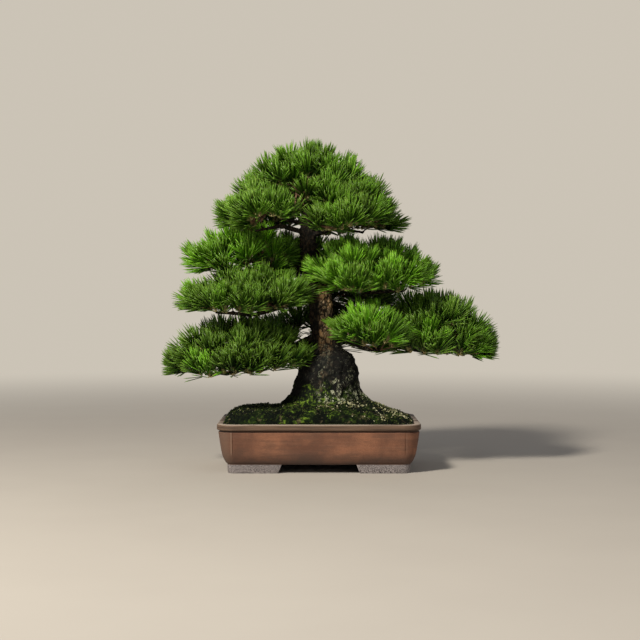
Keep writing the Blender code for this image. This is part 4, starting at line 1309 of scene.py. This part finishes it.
starts = []
ends = []
for new in added.values():
    for bases, tips, heading in new:
        foot = bases.mean(axis=0) - heading * SHOOT_FOOT
        away = anchors - (foot - heading * 0.0105)
        near = anchors[np.argmin(np.linalg.norm(away, axis=1))]
        starts.append(near)
        ends.append(foot + (foot - near) * 0.03)
sticks("side_twigs", starts, ends, TWIG_RADIUS, stem_finish)

# %% [markdown]
# The last centimetre of a shoot is thicker and paler than the twig, wrapped in the dry scales that the
# needles grew out of. The same stick, short and wide, stands under every tuft.

# %% Shoot bases
BASE_RADIUS = 0.0022
BASE_BELOW = 0.0065
BASE_ABOVE = 0.0035
base_finish, tree, shader = finish_of("shoot_bases", 0.7, 0.3)
mottle = cloud(tree, place_of(tree), 420.0)
paint(tree, shader, tint(tree, (0.260, 0.170, 0.080), (0.560, 0.500, 0.240), mottle, 0.4, 0.6))
starts = []
ends = []
for found in tufts.values():
    for bases, tips in found:
        heading = heading_of(bases, tips)
        starts.append(bases.mean(axis=0) - heading * BASE_BELOW)
        ends.append(bases.mean(axis=0) + heading * BASE_ABOVE)
sticks("shoot_bases", starts, ends, BASE_RADIUS, base_finish)

# %% [markdown]
# Black pine needles come in pairs, stiff, straight and about five centimetres long, dark green with
# lighter tips, each pair held in a pale sheath. The darker green towards the base is partly painted shade
# inside the tuft, and the brightest needles get a painted highlight. One slim needle with three sides is
# the pattern: a circle extruded twice and closed to a point. How fresh its green is, with the painted
# light mixed into it, comes from the mesh, because it differs from tuft to tuft.

# %% Needle pattern
needle = pattern_mesh("needle", spindle(3, 0.8, ((0.80, 1.0), (1.0, 0.20))))
print("needle faces", len(needle.polygons))

# %% Needle finish
needle_finish, tree, shader = finish_of("pine_needles", 0.42, 0.32)
along = read(tree, "along")
tone = read(tree, "tone")
spray_tone = cloud(tree, place_of(tree), 22.0, 2.0)
deep = tint(tree, (0.018, 0.054, 0.006), (0.040, 0.108, 0.010), spray_tone, 0.38, 0.62)
dull = scaled(tree, deep, (0.50, 0.50, 0.55))
vivid = scaled(tree, deep, (1.9, 1.8, 1.7))
deep = tint(tree, dull, vivid, tone, 0.2, 0.9)
# The fresh green is partly painted light, and the highest values brighten it further.
fresh_and_painted_light = read(tree, "fresh_and_painted_light")
deep = blend(tree, fresh_and_painted_light, deep, scaled(tree, deep, (2.9, 3.2, 1.1)))
deep = tint(tree, deep, scaled(tree, deep, (2.2, 2.0, 1.5)), fresh_and_painted_light, 1.3, 2.3)
# Painted shade: each needle is darker towards its base, inside the tuft, and lighter towards its tip.
colour = tint(tree, deep, (0.180, 0.340, 0.022), along, 0.30, 1.0, 0.0, 0.50)
# Painted highlight: the needles with the highest tone are lightened.
colour = tint(tree, colour, (0.300, 0.440, 0.085), tone, 0.76, 0.92, 0.0, 0.55)
colour = tint(tree, colour, (0.32, 0.31, 0.07), along, 0.94, 1.0, 0.0, 0.6)
colour = tint(tree, colour, (0.480, 0.460, 0.200), along, 0.09, 0.18, 1.0, 0.0)
paint(tree, shader, colour)
tree.links.new(span(tree, tone, 0.0, 1.0, 0.46, 0.34), shader.inputs["Roughness"])
print("needle nodes", len(tree.nodes))

# %% [markdown]
# New needles are aimed between two neighbouring spikes of the solids, so that the tufts fill up without
# growing wider. The lower ones on a shoot spread outwards and the upper ones point up with it, each pad
# in its own measure. None may reach out of the solids' box.

# %% Needles of one shoot
NEEDLES_A_SHOOT = 82
PAIR_SPREAD = 0.04
PAIR_APART = 0.0004
UPRIGHT = {"right_middle": 0.90, "right_front": 0.76, "left_upper": 0.66, "crown": 0.60}
SHOOT_LENGTH = 0.009
LOW_SPREAD = {"right_middle": 0.35, "right_front": 0.5, "left_upper": 0.9, "crown": 1.0}
HANGING = -0.12
MARGIN = 0.0035
box_low = np.array(SOLID_BOX[0])
box_high = np.array(SOLID_BOX[1])


def keep_inside(starts, ways, lengths):
    """Shorten needles that would reach out of the solids' box."""
    for axis in range(3):
        tips = starts[:, axis] + ways[:, axis] * lengths
        for limit, sign in ((box_high[axis] - MARGIN, 1), (box_low[axis] + MARGIN, -1)):
            over = (tips - limit) * sign > 0
            room = (limit - starts[over, axis]) / ways[over, axis]
            lengths[over] = np.minimum(lengths[over], room)
    return lengths


def needles_of(pad, bases, tips, chance):
    """Starts, directions and lengths of the needles of one shoot, in pairs."""
    pairs = NEEDLES_A_SHOOT // 2
    spikes = tips - bases
    lengths = np.linalg.norm(spikes, axis=1)
    ways = spikes / lengths[:, None]
    heading = heading_of(bases, tips)
    first = np.arange(pairs) % len(ways)
    near = ways @ ways.T
    other = np.zeros(pairs, int)
    for k in range(pairs):
        order = np.argsort(-near[first[k]])
        other[k] = order[chance.integers(1, min(6, len(order)))]
    share = chance.uniform(0, 0.6, pairs)[:, None]
    way = ways[first] * (1 - share) + ways[other] * share + chance.normal(0, 0.06, (pairs, 3))
    down = chance.uniform(0, 1, pairs)[:, None]
    upright = UPRIGHT.get(pad, 0.60) * chance.uniform(0.6, 1.3) * (1 - 1.5 * down ** 2)
    way = way * (1 - upright) + heading * upright
    outward = way - heading * (way @ heading)[:, None]
    outward /= np.linalg.norm(outward, axis=1, keepdims=True)
    way = way + outward * LOW_SPREAD.get(pad, 1.4) * down ** 3
    way /= np.linalg.norm(way, axis=1, keepdims=True)
    way[:, 2] = np.maximum(way[:, 2], HANGING)
    length = np.minimum(lengths[first], lengths[other]) * chance.uniform(0.90, 1.07, pairs)
    start = bases[first] * (1 - share) + bases[other] * share
    start = start + heading * (0.003 - SHOOT_LENGTH * down)
    side = np.cross(way, chance.normal(0, 1, (pairs, 3)))
    side /= np.linalg.norm(side, axis=1, keepdims=True)
    starts = np.vstack([start + side * PAIR_APART, start - side * PAIR_APART])
    ways = np.vstack([way + side * PAIR_SPREAD, way - side * PAIR_SPREAD])
    ways /= np.linalg.norm(ways, axis=1, keepdims=True)
    lengths = np.concatenate([length, length * chance.uniform(0.96, 1.0, pairs)])
    return starts, ways, keep_inside(starts, ways, lengths)


# %% [markdown]
# The pads are not equally green. Each has its own share of fresh growth, set partly as painted light for
# how brightly the pad is lit, with more near the top of a pad as painted sunlight, and here and there one
# tuft is brighter than the rest. Two pads have back rows that the crown shades, and those are given painted
# light as a fresher green, or they would sink into black.

# %% Needles of every pad
NEEDLE_RADIUS = 0.00094
FRESH_AND_PAINTED_LIGHT = {
    "right_middle": 1.1, "right_front": 0.9, "crown": 0.30, "left_upper": 1.1, "left_middle": 0.10,
    "right_low": 0.15,
}
PAINTED_LIGHT_FOR_BACK_ROWS = {"right_middle": 1.0, "left_upper": 0.7}
BACK_ROW = 0.020
BRIGHT_TUFTS = 0.13
needle_count = 0
for number, (pad, found) in enumerate(tufts.items()):
    chance = np.random.default_rng(100 + number)
    rows = [needles_of(pad, bases, tips, chance) for bases, tips in found]
    starts = np.vstack([row[0] for row in rows])
    ways = np.vstack([row[1] for row in rows])
    lengths = np.concatenate([row[2] for row in rows])
    count = len(starts)
    needle_count += count
    radius = NEEDLE_RADIUS * chance.uniform(0.85, 1.1, count)
    turns = slim_turns(ways, chance.uniform(0, FULL_TURN, count), radius, lengths)
    bends = chance.normal(0, 2.2, (count, 2))
    mesh, along = lay_out("needles_" + pad, needle, turns, starts, bends)
    write_along(mesh, "along", along)
    heights = np.array([tips[:, 2].max() for _, tips in found])
    # Painted sunlight: shoots higher in a pad get more of the fresh green.
    sunny = 0.7 + 1.0 * (heights - heights.min()) / (heights.max() - heights.min())
    # These values hold fresh growth and painted light together.
    young = FRESH_AND_PAINTED_LIGHT.get(pad, 0.0) * sunny * chance.uniform(0.6, 1.2, len(found))
    young = np.where(chance.uniform(0, 1, len(found)) < BRIGHT_TUFTS, 1.1, young)
    # Painted light for the back rows that the crown shades.
    behind = np.array([bases[:, 1].mean() - MIDDLE.y for bases, _ in found]) / BACK_ROW
    young = young + PAINTED_LIGHT_FOR_BACK_ROWS.get(pad, 0.0) * np.clip(behind, 0, 1) * sunny
    write_along(mesh, "fresh_and_painted_light", np.repeat(young, len(mesh.vertices) // len(found)))
    shoot_tone = np.repeat(chance.uniform(0, 1, len(found)), count // len(found))
    tone = 0.5 * shoot_tone + 0.5 * chance.uniform(0, 1, count)
    write_along(mesh, "tone", np.repeat(tone, len(needle.vertices)))
    nodes = ["spray_%02d" % n for n in PADS[pad]]
    settle("needles_" + pad, mesh, needle_finish, nodes)
print("needles", needle_count)

# %% [markdown]
# At the end of each shoot stands a resting bud, a pale pointed thing covered in fringed scales. It is a
# small cone that swells above its foot, with cell bumps for the scales.

# %% Buds
BUD_RADIUS = 0.0019
bud = pattern_mesh("bud", spindle(5, 0.55, ((0.28, 1.0), (0.70, 0.70), (1.0, 0.10))))
chance = np.random.default_rng(9)
spots = []
ways = []
for found in tufts.values():
    for bases, tips in found:
        heading = heading_of(bases, tips)
        middle = bases.mean(axis=0)
        top = ((bases - middle) @ heading).max()
        spots.append(middle + heading * (top - 0.001))
        ways.append(heading)
spots = np.array(spots)
count = len(spots)
lengths = chance.uniform(0.007, 0.010, count)
turns = slim_turns(np.array(ways), chance.uniform(0, FULL_TURN, count), BUD_RADIUS, lengths)
mesh, _ = lay_out("buds", bud, turns, spots)
bud_finish, tree, shader = finish_of("bud_scales", 0.7, 0.3)
scales = cells(tree, place_of(tree), 1100.0).outputs["Distance"]
paint(tree, shader, tint(tree, (0.50, 0.42, 0.28), (0.26, 0.17, 0.09), scales, 0.2, 0.7))
raise_by(tree, shader, scales, 0.0006, 0.8).node.invert = True
settle("buds", mesh, bud_finish)

# %% [markdown]
# Last, the box of the solids is printed. The needles were kept inside it. Nothing may have grown past
# them.

# %% Sizes and finish
print("solids", [[round(c, 4) for c in v] for v in SOLID_BOX])
